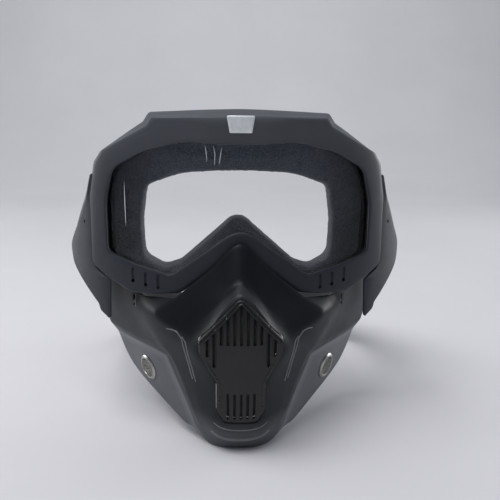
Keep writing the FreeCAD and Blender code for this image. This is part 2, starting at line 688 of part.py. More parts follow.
def make_grille(shield):
    """Slotted insert and the raised border of its upper part."""
    front = size("beak_curve")
    behind = -size("beak_centre")
    thick = size("grille_thick")
    shell = joined("grille_shell", "Cut", barrel("grille_front", front), barrel("grille_back", front - thick))
    plate = joined("grille_plate", "Common", shell, prism("grille_block", shield, behind))
    border = joined("border_ring", "Cut", prism("border_outside", grown(shield, 1)),
                    prism("border_inside", grown(shield, -size("bezel_wide"))))
    upper = joined("border_upper", "Common", border, box("border_limit", (-40, -100, -62), (40, -40, -20)))
    inset = joined("grille_inset", "Cut", plate, upper)
    cutters = []
    pitch = size("grille_pitch")
    slots = [(i * pitch, SLOT_TOPS[abs(i)], SLOT_FOOT) for i in range(-3, 4)]
    slots += [(side * x, top, foot) for x, top, foot in OUTER_SLOTS for side in (1, -1)]
    for i, (x, top, foot) in enumerate(slots):
        slot = doc.addObject("Part::Box", f"grille_slot_{i}")
        bind(slot, Length="grille_slot")
        slot.Width = 60
        slot.Height = top - foot
        slot.Placement.Base = Vector(x - size("grille_slot") / 2, -100, foot)
        cutters.append(slot)
    low, high = LOWER_SLOTS[1], LOWER_SLOTS[0]
    for i in range(-2, 3):
        cutters.append(box(f"lower_slot_{i + 2}", (i * pitch - 0.7, -100, low), (i * pitch + 0.7, -60, high)))
    node("grille_insert", joined("grille_insert", "Cut", inset, grouped("grille_slots", cutters)))
    proud = joined("bezel_shell", "Cut", barrel("bezel_front", front + 0.8), barrel("bezel_back", front - thick))
    within = joined("bezel_ring", "Cut", prism("bezel_outside", shield, behind),
                    prism("bezel_inside", grown(shield, -size("bezel_wide"))))
    bezel = joined("bezel_band", "Common", proud, within)
    node("grille_bezel", joined("grille_bezel", "Common", bezel,
                                box("bezel_limit", (-40, -100, -62), (40, -40, -20))))


def make_filter(shield):
    """Filter pad behind the grille, and the slotted lid that holds it."""
    behind = -size("beak_centre")
    front = size("beak_curve") - size("grille_thick") - 0.3
    back = front - size("filter_thick")
    pad_shell = joined("pad_shell", "Cut", barrel("pad_front", front), barrel("pad_back", back))
    node("filter_pad", joined("filter_pad", "Common", pad_shell, prism("pad_block", grown(shield, -2.5), behind)))
    lid = back - size("running_gap")
    lid_shell = joined("lid_shell", "Cut", barrel("lid_front", lid), barrel("lid_back", lid - size("cover_thick")))
    plate = joined("lid_plate", "Common", lid_shell, prism("lid_block", grown(shield, -1), behind))
    slots = [box(f"lid_slot_{i + 2}", (i * 5 - 1.2, -100, -72), (i * 5 + 1.2, -33, -50)) for i in range(-2, 3)]
    node("filter_cover", joined("filter_cover", "Cut", plate, grouped("lid_slots", slots)))


def make_cheek_vents():
    """Metal eyelets with a disc of mesh."""
    flange = size("ring_flange")
    bore = size("ring_bore")
    collar = bore + 1
    outside = size("ring_radius")
    depth = size("mask_wall") + 1.2
    points = [(bore, flange), (outside - 0.8, flange), (outside, 0.1), (collar - 0.1, 0.1), (collar - 0.1, -depth),
              (bore, -depth)]
    ring = new_body("ring_body")
    revolve(ring, body_sketch(ring, "XZ_Plane", polygon(points)))
    mesh = new_body("mesh_body")
    circle = Part.Circle(Vector(0, 0, 0), Vector(0, 0, 1), bore)
    pad(mesh, body_sketch(mesh, "XY_Plane", [circle]), "mesh_thick", symmetric=True)
    for body, name in ((ring, "cheek_ring"), (mesh, "cheek_mesh")):
        body.Placement = Placement(CHEEK_POINT, Rotation(Vector(0, 0, 1), CHEEK_NORMAL))
        node(name + "_left", body)
        node(name + "_right", mirror_image(name + "_mirror", body))


def check_document():
    """Stop at any object that failed, and at any sub-part without a sound shape."""
    for thing in doc.Objects:
        if "Invalid" in thing.State or "Error" in thing.State:
            raise RuntimeError(f"{thing.Name} is {thing.State}")
    for thing in nodes:
        shape = thing.Shape
        if shape.isNull() or not shape.isValid() or not shape.Solids:
            raise RuntimeError(f"{thing.Label} has no sound shape")


def write_parts():
    """One STEP file for each sub-part."""
    os.makedirs("parts", exist_ok=True)
    for thing in nodes:
        thing.Shape.exportStep(f"parts/{thing.Label}.step")
        limits = thing.Shape.BoundBox
        print(f"{thing.Label:18s} {len(thing.Shape.Solids)} solids, {thing.Shape.Volume / 1000:8.2f} cm3,"
              f" x {limits.XMin:.1f} {limits.XMax:.1f}, y {limits.YMin:.1f} {limits.YMax:.1f},"
              f" z {limits.ZMin:.1f} {limits.ZMax:.1f}")


def main():
    outline = mirrored(FRAME)
    aperture = mirrored(APERTURE)
    eye_opening = mirrored(EYE_OPENING)
    shield = mirrored(SHIELD)
    make_front_frame(outline, aperture)
    make_rear_frame(aperture, eye_opening)
    make_lens(aperture)
    make_foams(aperture, eye_opening)
    make_vent_foams(aperture)
    make_badge()
    make_wings()
    make_studs()
    make_hooks(aperture)
    make_clips()
    make_webbing()
    make_adjusters()
    make_mask_shell(shield)
    make_grille(shield)
    make_filter(shield)
    make_cheek_vents()
    doc.recompute()
    check_document()
    write_parts()


main()
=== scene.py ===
"""Looks of the riding goggles and their face mask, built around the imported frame.

Shapes are worked out in millimetres, in the frame's own axes (+Z up, front at -Y), and put down in
metres. Outlines and the mask's grid repeat the ones that the CAD part was made from.
"""
import math

import bmesh
import bpy
from mathutils import Matrix, Vector, noise
from mathutils.bvhtree import BVHTree


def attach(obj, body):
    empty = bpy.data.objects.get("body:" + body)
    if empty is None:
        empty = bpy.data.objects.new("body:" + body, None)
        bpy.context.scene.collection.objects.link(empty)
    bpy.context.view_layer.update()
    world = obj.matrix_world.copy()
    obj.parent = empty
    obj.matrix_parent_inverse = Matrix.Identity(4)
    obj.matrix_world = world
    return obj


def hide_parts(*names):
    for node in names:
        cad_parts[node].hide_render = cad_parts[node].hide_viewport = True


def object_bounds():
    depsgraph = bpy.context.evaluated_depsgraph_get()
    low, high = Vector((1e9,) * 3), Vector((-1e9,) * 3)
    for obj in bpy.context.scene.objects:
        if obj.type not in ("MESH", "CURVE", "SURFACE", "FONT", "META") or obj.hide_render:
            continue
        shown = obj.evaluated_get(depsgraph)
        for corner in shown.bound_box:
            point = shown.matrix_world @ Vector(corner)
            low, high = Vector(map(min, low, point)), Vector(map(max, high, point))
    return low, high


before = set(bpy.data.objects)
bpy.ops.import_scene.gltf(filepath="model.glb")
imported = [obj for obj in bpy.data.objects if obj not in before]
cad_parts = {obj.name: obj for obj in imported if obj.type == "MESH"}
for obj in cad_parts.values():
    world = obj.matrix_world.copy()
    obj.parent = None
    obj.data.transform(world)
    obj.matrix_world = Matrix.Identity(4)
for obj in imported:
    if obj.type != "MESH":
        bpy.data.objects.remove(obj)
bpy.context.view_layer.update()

MM = 0.001

# The CAD part's sizes that the looks share, in millimetres.
CURVE_ACROSS, CURVE_DEEP, CURVE_CENTRE = 110.0, 90.0, 38.0
FRAME_WALL = 2.2
RIM_DEPTH = 10.0
LENS_THICK = 1.6
GASKET_THICK = 1.5
FACE_CURVE = 128.0
FOAM_THICK, LINING_THICK, FLANGE_THICK = 12.0, 2.0, 2.0
BEAK_CURVE, BEAK_CENTRE, BEAK_BARREL, BEAK_HEIGHT = 45.0, 33.0, 145.0, 66.0
MASK_WALL = 2.4
GRILLE_THICK, GRILLE_SLOT, GRILLE_PITCH = 2.4, 1.6, 3.5
EAR_INNER, EAR_THICK, EAR_RADIUS = 90.0, 2.3, 8.0
STUD_REACH, STUD_DROP, STUD_RADIUS, STUD_HEAD = 14.0, 2.0, 3.15, 5.5
LEG_OFFSET, STRAP_WIDE, STRAP_THICK = 94.0, 40.0, 2.2
STRAP_LENGTH, STRAP_CORNER, STRAP_DROOP = 160.0, 45.0, 41.0
CLIP_THICK, CLIP_LENGTH = 2.4, 30.0
ADJUSTER_PLACE, ADJUSTER_LENGTH, ADJUSTER_THICK = 72.0, 15.0, 6.0
RING_RADIUS, RING_BORE, RING_FLANGE = 8.0, 4.6, 1.2

# Outlines seen from the front, wearer's left half, clockwise from the top: x, z, corner radius.
FRAME = [(0, 60.2, 300), (47.5, 59.2, 2.5), (50.5, 54.6, 2), (78.4, 39.8, 4), (83.2, 33.5, 6), (87.2, 14, 20),
         (87.2, -27, 5), (77.2, -32.4, 10), (62.5, -39.2, 5), (47, -38.9, 8), (33, -36.9, 8), (0, -12, 6)]
APERTURE = [(0, 44.4, 200), (30, 46.4, 35), (52, 41, 30), (70.5, 31, 12), (75.6, 12, 40), (75.4, -17.5, 4.5),
            (59.9, -22.1, 60), (38, -27, 7), (0, 1, 12)]
FACE_RING = [(0, 50.5, 200), (30, 52, 35), (54, 46.5, 30), (75.5, 35, 12), (81, 12, 40), (79, -26, 10),
             (63, -41, 20), (41, -44.5, 8), (0, -13, 10)]
EYE_OPENING = [(0, 29.2, 300), (34, 27, 60), (55.5, 18.8, 7), (58.9, -4, 60), (57.6, -26, 8),
               (44.5, -31.6, 8), (34.8, -27.6, 8), (0, 3.8, 9)]
SHIELD = [(0, -31, 4), (22.6, -55.5, 3), (22, -63.5, 4), (13.2, -78.5, 4), (13.2, -95, 4), (9, -102.5, 3)]
WING_OUTER = [(86.2, 26, 1), (89.3, 15, 15), (98.5, -6.5, 25), (106.5, -21, 10), (104, -31, 10)]
WING_INNER = [(83.6, -50.6, 1.5), (82.4, -54.4, 1), (75.4, -58.6, 1.2), (74.4, -34.6, 0.5), (87.35, -27.1, 5),
              (87.35, 14, 20)]
LOBE_VENTS = [(60.3, -24.3, -32.2), (52.8, -26.3, -33.6), (45.6, -26.9, -34.5)]
SLOT_TOPS = [-35, -38.2, -42.8, -46.5]
SLOT_FOOT = -57.1
OUTER_SLOTS = [(14.3, -50.7, -69.6), (17.9, -54.7, -64.2)]
LOWER_SLOTS = (-84.0, -100.0)
CHEEK_POINT = Vector((55, -19, -92))
CHEEK_NORMAL = Vector((0.79, -0.59, -0.17)).normalized()
TUNNEL_FRONT, TUNNEL_BACK = -56.0, 30.0

# Routes (x, z) of pale streaks on the lens: painted reflections of lamps.
LENS_REFLECTION_STREAKS = [[(-18.9, 44.6), (-18.3, 41.0), (-17.9, 35.8)], [(-14.5, 44.2), (-13.6, 40.0), (-13.9, 34.2)],
               [(-10.0, 43.4), (-10.7, 39.0), (-11.5, 34.3)], [(-64.2, 23.4), (-64.2, 12.0), (-64.0, -1.4)]]

BADGE = [(7.5, 60, 0.6), (5.9, 51, 0.6), (-5.9, 51, 0.6), (-7.5, 60, 0.6)]
BADGE_CENTRE = Vector((0, 55.5))
VENT_HOLE, VENT_GROOVE = 1.05, 0.8        # radius of a lobe's hole, half width of its groove
BLIND_HOLE, THROUGH_HOLE = 1.6, 12        # how deep the inner hole and the two outer ones go
ARM_SLIT = (61.6, -43, -49.5, 0.9)        # x, top, foot, half width
GRILLE_TOP, GRILLE_FOOT, GRILLE_SHOULDER = -32.2, -102.3, -62.0
LOWER_SLOT_HALF = 0.7
SHELL_CUT, GRILLE_CUT, SLIT_CUT = (-92, -58), (-95, -55), (-40, -14)        # from y to y
RIM_RISE, BROW_SWELL = 3.4, 0.5           # how far the rim rises over the brow, and the brow bulges
# Sizes of the painted reflection streaks on the lens.
STREAK_THIN, STREAK_SWELL, STREAK_PROUD = 0.05, 0.16, 0.06
WIRE_PITCH, WIRE_RADIUS, WIRE_LIFT, WIRE_WAVE = 0.95, 0.2, 0.42, 0.16

# Where painted light lies on the mask (painted highlights) and on the frame's brow (paler towards the top),
# in metres.
PANEL_SLOPE, PANEL_SIDE, PANEL_TOP = 0.47, 0.0775, -0.0755
CHIN_START, CHIN_FULL = -0.1, -0.112
SHELF_SLOPE, SHELF_FOOT, SHELF_TOP = 0.95, -0.0335, -0.0255
BROW_START, BROW_FULL = 0.018, 0.05
# The pale colour of the painted light.
PAINTED_LIGHT_COLOUR = (0.31, 0.325, 0.35, 1)

# Lights: name, place, target, size, power in watts, spread in degrees.
LIGHTS = [
    ("key", (-0.4, -0.3, 1.15), (0, -0.02, -0.03), (1.0, 0.8), 13, 180),
    ("side_left", (-1.15, 0.62, 0.1), (-0.05, -0.02, -0.08), (0.8, 0.36), 0.8, 70),
    ("side_right", (1.15, 0.62, 0.1), (0.05, -0.02, -0.08), (0.8, 0.36), 1.1, 70),
    ("wall_wash", (0, 0.9, 1.6), (0, 2.1, 0.6), (2.0, 0.4), 15, 180),
]
ROOM_DARK, ROOM_BRIGHT = (0.085, 0.095, 0.12), (0.76, 0.775, 0.81)
PAPER_DARK, PAPER_BRIGHT = (0.62, 0.615, 0.645), (0.68, 0.675, 0.7)
FLOOR_FRONT, FLOOR_BACK, SWEEP, WALL_HEIGHT, FLOOR_HALF = -2.5, 1.2, 0.9, 3.5, 4.0
CAMERA_TURN, CAMERA_RISE, CAMERA_ROLL = -3, 12, 0.5
CAMERA_PLACE = (-0.01209, -0.38309, 0.05914)
CAMERA_LENS, CAMERA_SENSOR = 44.93, 36

# Points of two outlines that lie across from each other, so that a skin can run between them.
FRAME_MARKS = [(47.9, 59), (50.6, 54.5), (66, 46.2), (82.4, 34.3), (87, 12), (86, -27.4), (77.2, -32.6),
               (62.5, -38.6), (47, -38.8), (33.5, -36.3), (24, -30.2)]
APERTURE_MARKS = [(36, 45.1), (40.5, 43.9), (53, 39.9), (70, 30.8), (75.6, 10), (74.3, -17.6), (69, -19.5),
                  (60, -22.2), (48, -24.8), (38.3, -26.2), (30.4, -21.4)]
TUNNEL_MARKS = [(30, 52.2), (66, 41), (81.4, 10), (79.5, -21.5), (58, -28.6), (39, -33.2), (20, -20)]
FACE_MARKS = [(30, 51.7), (66, 40), (80.5, 10), (77, -29), (58, -41.5), (42, -43.8), (20, -27.3)]
EYE_MARKS = [(30, 27.4), (53, 19.4), (58.5, 3), (56.5, -26), (47, -30.4), (36.5, -28.6), (18, -12.3)]


# Outlines

def mirrored(half):
    """A closed loop from its left half."""
    return half + [(-x, z, radius) for x, z, radius in reversed(half) if x > 0]


def grown(loop, distance):
    """A clockwise loop with every side moved outwards."""
    count = len(loop)
    moved = []
    for i in range(count):
        start = Vector(loop[i][:2])
        side = (Vector(loop[(i + 1) % count][:2]) - start).normalized()
        moved.append((start + Vector((-side.y, side.x)) * distance, side))
    result = []
    for i in range(count):
        a, a_side = moved[i - 1]
        b, b_side = moved[i]
        turn = a_side.x * b_side.y - a_side.y * b_side.x
        along = ((b.x - a.x) * b_side.y - (b.y - a.y) * b_side.x) / turn
        corner = a + a_side * along
        outward = distance if turn < 0 else -distance
        result.append((corner.x, corner.y, max(loop[i][2] + outward, 0.4)))
    return result


def grown_half(half, distance):
    """The left half of a grown outline, starting and ending on the middle line."""
    return [corner for corner in grown(mirrored(half), distance) if corner[0] > -0.01][:len(half)]


def dense(loop, step=0.6):
    """Points along a closed loop with its corners rounded."""
    count = len(loop)
    points = []
    for i in range(count):
        corner = Vector(loop[i][:2])
        before = (corner - Vector(loop[i - 1][:2])).normalized()
        after = (Vector(loop[(i + 1) % count][:2]) - corner).normalized()
        turn = math.acos(max(-1.0, min(1.0, before.dot(after))))
        radius = loop[i][2]
        spin = 1 if before.x * after.y - before.y * after.x > 0 else -1
        centre = corner + (after - before).normalized() * (radius / math.cos(turn / 2))
        spoke = corner - before * radius * math.tan(turn / 2) - centre
        parts = max(2, int(radius * turn / step) + 1)
        points += [centre + Matrix.Rotation(spin * turn * k / parts, 2) @ spoke for k in range(parts + 1)]
    return points


def half_path(half):
    """Points of an outline from its top middle, round the wearer's left, to its lower middle."""
    loop = dense(mirrored(half))
    count = len(loop)

    def crossing(a, b):
        return a.lerp(b, a.x / (a.x - b.x)) if a.x != b.x else a

    i = next(i for i in range(count) if loop[i].x <= 0 < loop[(i + 1) % count].x)
    path = [crossing(loop[i], loop[(i + 1) % count])]
    i = (i + 1) % count
    while loop[i].x > 0:
        path.append(loop[i])
        i = (i + 1) % count
    path.append(crossing(loop[i - 1], loop[i]))
    return path


def travelled(path):
    """How far along a path each of its points is."""
    result = [0.0]
    for a, b in zip(path, path[1:]):
        result.append(result[-1] + (b - a).length)
    return result


def point_at(path, reach, distance):
    """The point of a path at a distance from its start, given travelled(path) as reach."""
    for i in range(1, len(path)):
        if reach[i] >= distance:
            step = reach[i] - reach[i - 1]
            return path[i - 1].lerp(path[i], (distance - reach[i - 1]) / step if step > 0 else 0)
    return path[-1].copy()


def ways(points, closed=False):
    """The direction of travel at each point of a path."""
    around = [points[-1 if closed else 0]] + points + [points[0 if closed else -1]]
    return [(after - before).normalized() for before, after in zip(around, around[2:])]


def ends_at(path, marks):
    """Where the path's nearest points to the marks are, with its two ends."""
    reach = travelled(path)
    nearest = [reach[min(range(len(path)), key=lambda i: (path[i] - Vector(mark)).length)] for mark in marks]
    return reach, [0.0] + nearest + [reach[-1]]


def counts_for(path, marks, step):
    """How many equal parts each stretch between marks needs."""
    ends = ends_at(path, marks)[1]
    return [max(1, math.ceil((b - a) / step)) for a, b in zip(ends, ends[1:])]


def stations(half, marks, counts):
    """A closed ring of points along an outline, matched to another by its marks."""
    path = half_path(half)
    reach, ends = ends_at(path, marks)
    points = []
    for begin, end, count in zip(ends, ends[1:], counts):
        points += [point_at(path, reach, begin + (end - begin) * k / count) for k in range(count)]
    points.append(path[-1])
    return points + [Vector((-p.x, p.y)) for p in reversed(points[1:-1])]


# Surfaces that the pieces follow

def front_y(x, inset=0.0):
    """The front surface, or one set back from it."""
    share = min(abs(x) / (CURVE_ACROSS - inset), 0.9999)
    return CURVE_CENTRE - (CURVE_DEEP - inset) * math.sqrt(1 - share * share)


def face_y(x, offset):
    """The surface of the face, or one in front of it."""
    return FACE_CURVE - math.sqrt((FACE_CURVE + offset) ** 2 - x * x)


def beak_y(x, z, proud=0.0):
    """The grille's barrel shaped front."""
    rise = z + BEAK_HEIGHT
    radius = BEAK_CURVE + proud + math.sqrt(BEAK_BARREL ** 2 - rise * rise) - BEAK_BARREL
    return -BEAK_CENTRE - math.sqrt(radius * radius - x * x)


def smooth_step(low, high, value):
    """0 below low, 1 above high, and a smooth rise between."""
    share = max(0.0, min(1.0, (value - low) / (high - low)))
    return share * share * (3 - 2 * share)


# Mesh building

def loft(sections, ring=True, shut=True):
    """Points and quads between sections. ring joins the last to the first, shut closes each one."""
    count = len(sections[0])
    points = [p for part in sections for p in part]
    faces = []
    for i in range(len(sections) if ring else len(sections) - 1):
        a = i * count
        b = (i + 1) % len(sections) * count
        for j in range(count if shut else count - 1):
            k = (j + 1) % count
            faces.append((a + j, b + j, b + k, a + k))
    if shut and not ring:
        faces.append(tuple(range(count)))
        faces.append(tuple(reversed(range(len(points) - count, len(points)))))
    return points, faces


def merged(*parts):
    """Several (points, faces) pairs as one."""
    points, faces = [], []
    for some_points, some_faces in parts:
        shift = len(points)
        points += list(some_points)
        faces += [tuple(i + shift for i in face) for face in some_faces]
    return points, faces


def flipped(part):
    """A mirror image across the middle plane."""
    points, faces = part
    return [Vector((-p[0], p[1], p[2])) for p in points], [tuple(reversed(face)) for face in faces]


def moved(part, matrix):
    """A part put down by a matrix."""
    points, faces = part
    return [matrix @ Vector(p) for p in points], faces


def new_object(name, part):
    """An object from points in millimetres, with its normals outwards."""
    points, faces = part
    mesh = bpy.data.meshes.new(name)
    mesh.from_pydata([Vector(p) * MM for p in points], [], faces)
    bm = bmesh.new()
    bm.from_mesh(mesh)
    bmesh.ops.recalc_face_normals(bm, faces=bm.faces)
    bm.to_mesh(mesh)
    bm.free()
    obj = bpy.data.objects.new(name, mesh)
    bpy.context.scene.collection.objects.link(obj)
    return obj


def settle(obj):
    """Apply an object's modifiers."""
    mesh = bpy.data.meshes.new_from_object(obj.evaluated_get(bpy.context.evaluated_depsgraph_get()))
    obj.modifiers.clear()
    obj.data = mesh
    return obj


def modifier(obj, kind, **settings):
    """Add a modifier with its settings."""
    made = obj.modifiers.new(kind.lower(), kind)
    for key, value in settings.items():
        setattr(made, key, value)
    return made


def cut(obj, part):
    """Cut closed shapes out of an object."""
    tool = new_object(obj.name + "_tool", part)
    modifier(obj, "BOOLEAN", operation="DIFFERENCE", solver="EXACT", use_self=True, object=tool)
    settle(obj)
    bpy.data.objects.remove(tool)
    return obj


def soften(obj, width, segments=2, angle=32):
    """Round an object's sharp edges."""
    modifier(obj, "BEVEL", width=width * MM, segments=segments, limit_method="ANGLE",
             angle_limit=math.radians(angle), harden_normals=False)
    return settle(obj)


def finish_piece(obj, body, material, stands_for=(), sharp=38):
    """Smooth shading, the material with the slot it carries, the body, and hiding of the CAD nodes that the
    piece stands for.
    """
    obj.data.shade_smooth()
    obj.data.set_sharp_from_angle(angle=math.radians(sharp))
    obj.data.materials.clear()
    obj.data.materials.append(material)
    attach(obj, body)
    if stands_for:
        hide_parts(*stands_for)
    return obj


def pair(name, left, body, material, node_name):
    """A left part and its mirror image, each for its own CAD node. body may hold {side}."""
    for side, part in (("left", left), ("right", flipped(left))):
        obj = new_object(f"{name}_{side}", part)
        finish_piece(obj, body.format(side=side), material, [f"{node_name}_{side}"])


def node_copy(name, node_name):
    """A new object with a CAD node's shape."""
    obj = bpy.data.objects.new(name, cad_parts[node_name].data.copy())
    bpy.context.scene.collection.objects.link(obj)
    return obj


def softened_copy(name, node_name, body, material, width, segments=2):
    """A CAD node's own shape with rounded edges."""
    obj = node_copy(name, node_name)
    bm = bmesh.new()
    bm.from_mesh(obj.data)
    bmesh.ops.remove_doubles(bm, verts=bm.verts, dist=0.00001)
    bmesh.ops.dissolve_limit(bm, angle_limit=math.radians(1.5), verts=bm.verts, edges=bm.edges)
    bm.to_mesh(obj.data)
    bm.free()
    soften(obj, width, segments)
    return finish_piece(obj, body, material, [node_name])


def foam_copy(name, node_name, body, material, voxel=0.8, rough=0.12):
    """A CAD node's shape as a soft block: remeshed, smoothed and slightly uneven."""
    obj = node_copy(name, node_name)
    modifier(obj, "REMESH", mode="VOXEL", voxel_size=voxel * MM)
    modifier(obj, "SMOOTH", factor=0.6, iterations=4)
    settle(obj)
    ruffle(obj, rough, 900.0)
    finish_piece(obj, body, material, [node_name], sharp=80)
    return obj


def ruffle(obj, height, frequency):
    """Move each vertex along its normal by a little noise."""
    for vertex in obj.data.vertices:
        vertex.co += vertex.normal * (noise.noise(vertex.co * frequency) * height * MM)


def prism_part(loop, low, high):
    """A closed block that runs from y = low to y = high with a front outline."""
    return loft([[Vector((p.x, y, p.y)) for p in loop] for y in (low, high)], ring=False)


def capsule_part(x, top, foot, half, low, high):
    """A slot shaped block with round ends, seen from the front."""
    arc = [math.pi * k / 8 for k in range(9)]
    loop = [Vector((x + half * math.cos(a), top - half + half * math.sin(a))) for a in arc]
    loop += [Vector((x - half * math.cos(a), foot + half - half * math.sin(a))) for a in arc]
    return prism_part(loop, low, high)


def round_block(low, high, segments=3, round_by=0.6):
    """A box with rounded edges, as points and faces in millimetres."""
    bm = bmesh.new()
    bmesh.ops.create_cube(bm, size=1.0)
    low, high = Vector(low), Vector(high)
    for vertex in bm.verts:
        vertex.co = Vector([(low[i] + high[i]) / 2 + vertex.co[i] * (high[i] - low[i]) for i in range(3)])
    bmesh.ops.bevel(bm, geom=list(bm.edges), offset=round_by, segments=segments, profile=0.5, affect="EDGES")
    bm.verts.ensure_lookup_table()
    part = [v.co.copy() for v in bm.verts], [tuple(v.index for v in face.verts) for face in bm.faces]
    bm.free()
    return part


def plate_part(loops, thickness, edge):
    """A flat plate with holes and rounded edges, centred on its own XY plane. The first loop is outside."""
    curve = bpy.data.curves.new("plate", "CURVE")
    curve.dimensions = "2D"
    curve.fill_mode = "BOTH"
    curve.extrude = thickness / 2 - edge
    curve.bevel_depth = edge
    curve.bevel_resolution = 2
    curve.offset = -edge
    for loop in loops:
        spline = curve.splines.new("POLY")
        spline.points.add(len(loop) - 1)
        for point, place in zip(spline.points, loop):
            point.co = (place[0], place[1], 0, 1)
        spline.use_cyclic_u = True
    holder = bpy.data.objects.new("plate", curve)
    bpy.context.scene.collection.objects.link(holder)
    mesh = bpy.data.meshes.new_from_object(holder.evaluated_get(bpy.context.evaluated_depsgraph_get()))
    bm = bmesh.new()
    bm.from_mesh(mesh)
    bmesh.ops.remove_doubles(bm, verts=bm.verts, dist=0.001)
    bm.verts.index_update()
    part = [v.co.copy() for v in bm.verts], [tuple(v.index for v in face.verts) for face in bm.faces]
    bm.free()
    bpy.data.objects.remove(holder)
    bpy.data.meshes.remove(mesh)
    return part


def circle(radius, count=40, centre=(0, 0)):
    """Points of a circle as pairs."""
    return [(centre[0] + radius * math.cos(2 * math.pi * k / count),
             centre[1] + radius * math.sin(2 * math.pi * k / count)) for k in range(count)]


def lathe_part(profile, count=48):
    """Turn a closed (radius, height) profile about the Z axis."""
    sections = []
    for k in range(count):
        angle = 2 * math.pi * k / count
        sections.append([Vector((r * math.cos(angle), r * math.sin(angle), h)) for r, h in profile])
    return loft(sections)


def facing(place, direction):
    """A matrix that puts the Z axis along a direction at a place."""
    turn = Vector((0, 0, 1)).rotation_difference(Vector(direction)).to_matrix().to_4x4()
    return Matrix.Translation(Vector(place)) @ turn


def standing(x):
    """A matrix that stands a flat plate up across X, its own X along Y and its own Y along Z."""
    return Matrix(((0, 0, 1, x), (1, 0, 0, 0), (0, 1, 0, 0), (0, 0, 0, 1)))


# Materials

def node(tree, kind, inputs=None, **settings):
    """A shader node with its inputs set or linked."""
    made = tree.nodes.new("ShaderNode" + kind)
    for key, value in settings.items():
        setattr(made, key, value)
    for key, value in (inputs or {}).items():
        if isinstance(value, bpy.types.NodeSocket):
            tree.links.new(value, made.inputs[key])
        else:
            made.inputs[key].default_value = value
    return made


def ramp(tree, factor, *stops):
    """A colour ramp from (position, colour) stops."""
    made = node(tree, "ValToRGB", {"Fac": factor})
    elements = made.color_ramp.elements
    while len(elements) < len(stops):
        elements.new(0.5)
    for element, (position, colour) in zip(elements, stops):
        element.position = position
        element.color = (*colour, 1)
    return made.outputs["Color"]


def fitted(tree, value, low, high, start=0.0, stop=1.0):
    """A value stretched from start..stop to low..high."""
    made = node(tree, "MapRange", {"Value": value, "From Min": start, "From Max": stop, "To Min": low,
                                   "To Max": high})
    return made.outputs["Result"]


def combined(tree, operation, a, b=0.0):
    """Two values put together by a Math node."""
    made = node(tree, "Math", {0: a, 1: b}, operation=operation)
    return made.outputs["Value"]


def new_material(name, slot, **sockets):
    """A Principled material, its tree, its shader and its coordinates."""
    material = bpy.data.materials.new(name)
    material.use_nodes = True
    material["slot"] = slot
    tree = material.node_tree
    shader = next(n for n in tree.nodes if n.type == "BSDF_PRINCIPLED")
    for key, value in sockets.items():
        shader.inputs[key.replace("_", " ")].default_value = value
    place = node(tree, "TexCoord").outputs["Object"]
    return material, tree, shader, place


def grain(tree, place, scale, detail=3.0, rough=0.6):
    """Noise with a scale in bumps per metre."""
    inputs = {"Vector": place, "Scale": scale, "Detail": detail, "Roughness": rough}
    return node(tree, "TexNoise", inputs).outputs[0]


def bumped(tree, shader, *layers):
    """Bump maps on top of each other, from (height, distance in millimetres, strength) layers."""
    normal = None
    for height, distance, strength in layers:
        inputs = {"Height": height, "Distance": distance * MM, "Strength": strength}
        if normal is not None:
            inputs["Normal"] = normal
        normal = node(tree, "Bump", inputs).outputs["Normal"]
    tree.links.new(normal, shader.inputs["Normal"])


def moulded(slot, dark, light, gloss, texture=0.03, fine=2600.0, painted_light=None, name=None, **sockets):
    """Moulded plastic or rubber: fine spark texture, faint colour change, smudged gloss, and painted light
    mixed into the colour where a mask for it is given.
    """
    material, tree, shader, place = new_material(name or slot, slot, **sockets)
    broad = grain(tree, place, 26.0, 4.0)
    smudge = grain(tree, place, 90.0, 5.0, 0.7)
    spark = grain(tree, place, fine, 2.0)
    colour = ramp(tree, broad, (0.3, dark), (0.72, light))
    # Painted light: a pale colour mixed in where the given mask says, broken up by the smudge noise.
    if painted_light:
        amount = combined(tree, "MULTIPLY", painted_light(tree, place), fitted(tree, smudge, 0.75, 1.2))
        mixed = node(tree, "Mix", {"Factor": amount, "A": colour}, data_type="RGBA")
        mixed.inputs[7].default_value = PAINTED_LIGHT_COLOUR
        colour = mixed.outputs[2]
    tree.links.new(colour, shader.inputs["Base Color"])
    smudged = fitted(tree, smudge, gloss[0], gloss[1], 0.3, 0.7)
    rough = combined(tree, "ADD", smudged, fitted(tree, spark, -0.03, 0.03))
    tree.links.new(rough, shader.inputs["Roughness"])
    bumped(tree, shader, (spark, texture, 0.5), (smudge, 0.05, 0.12))
    return material


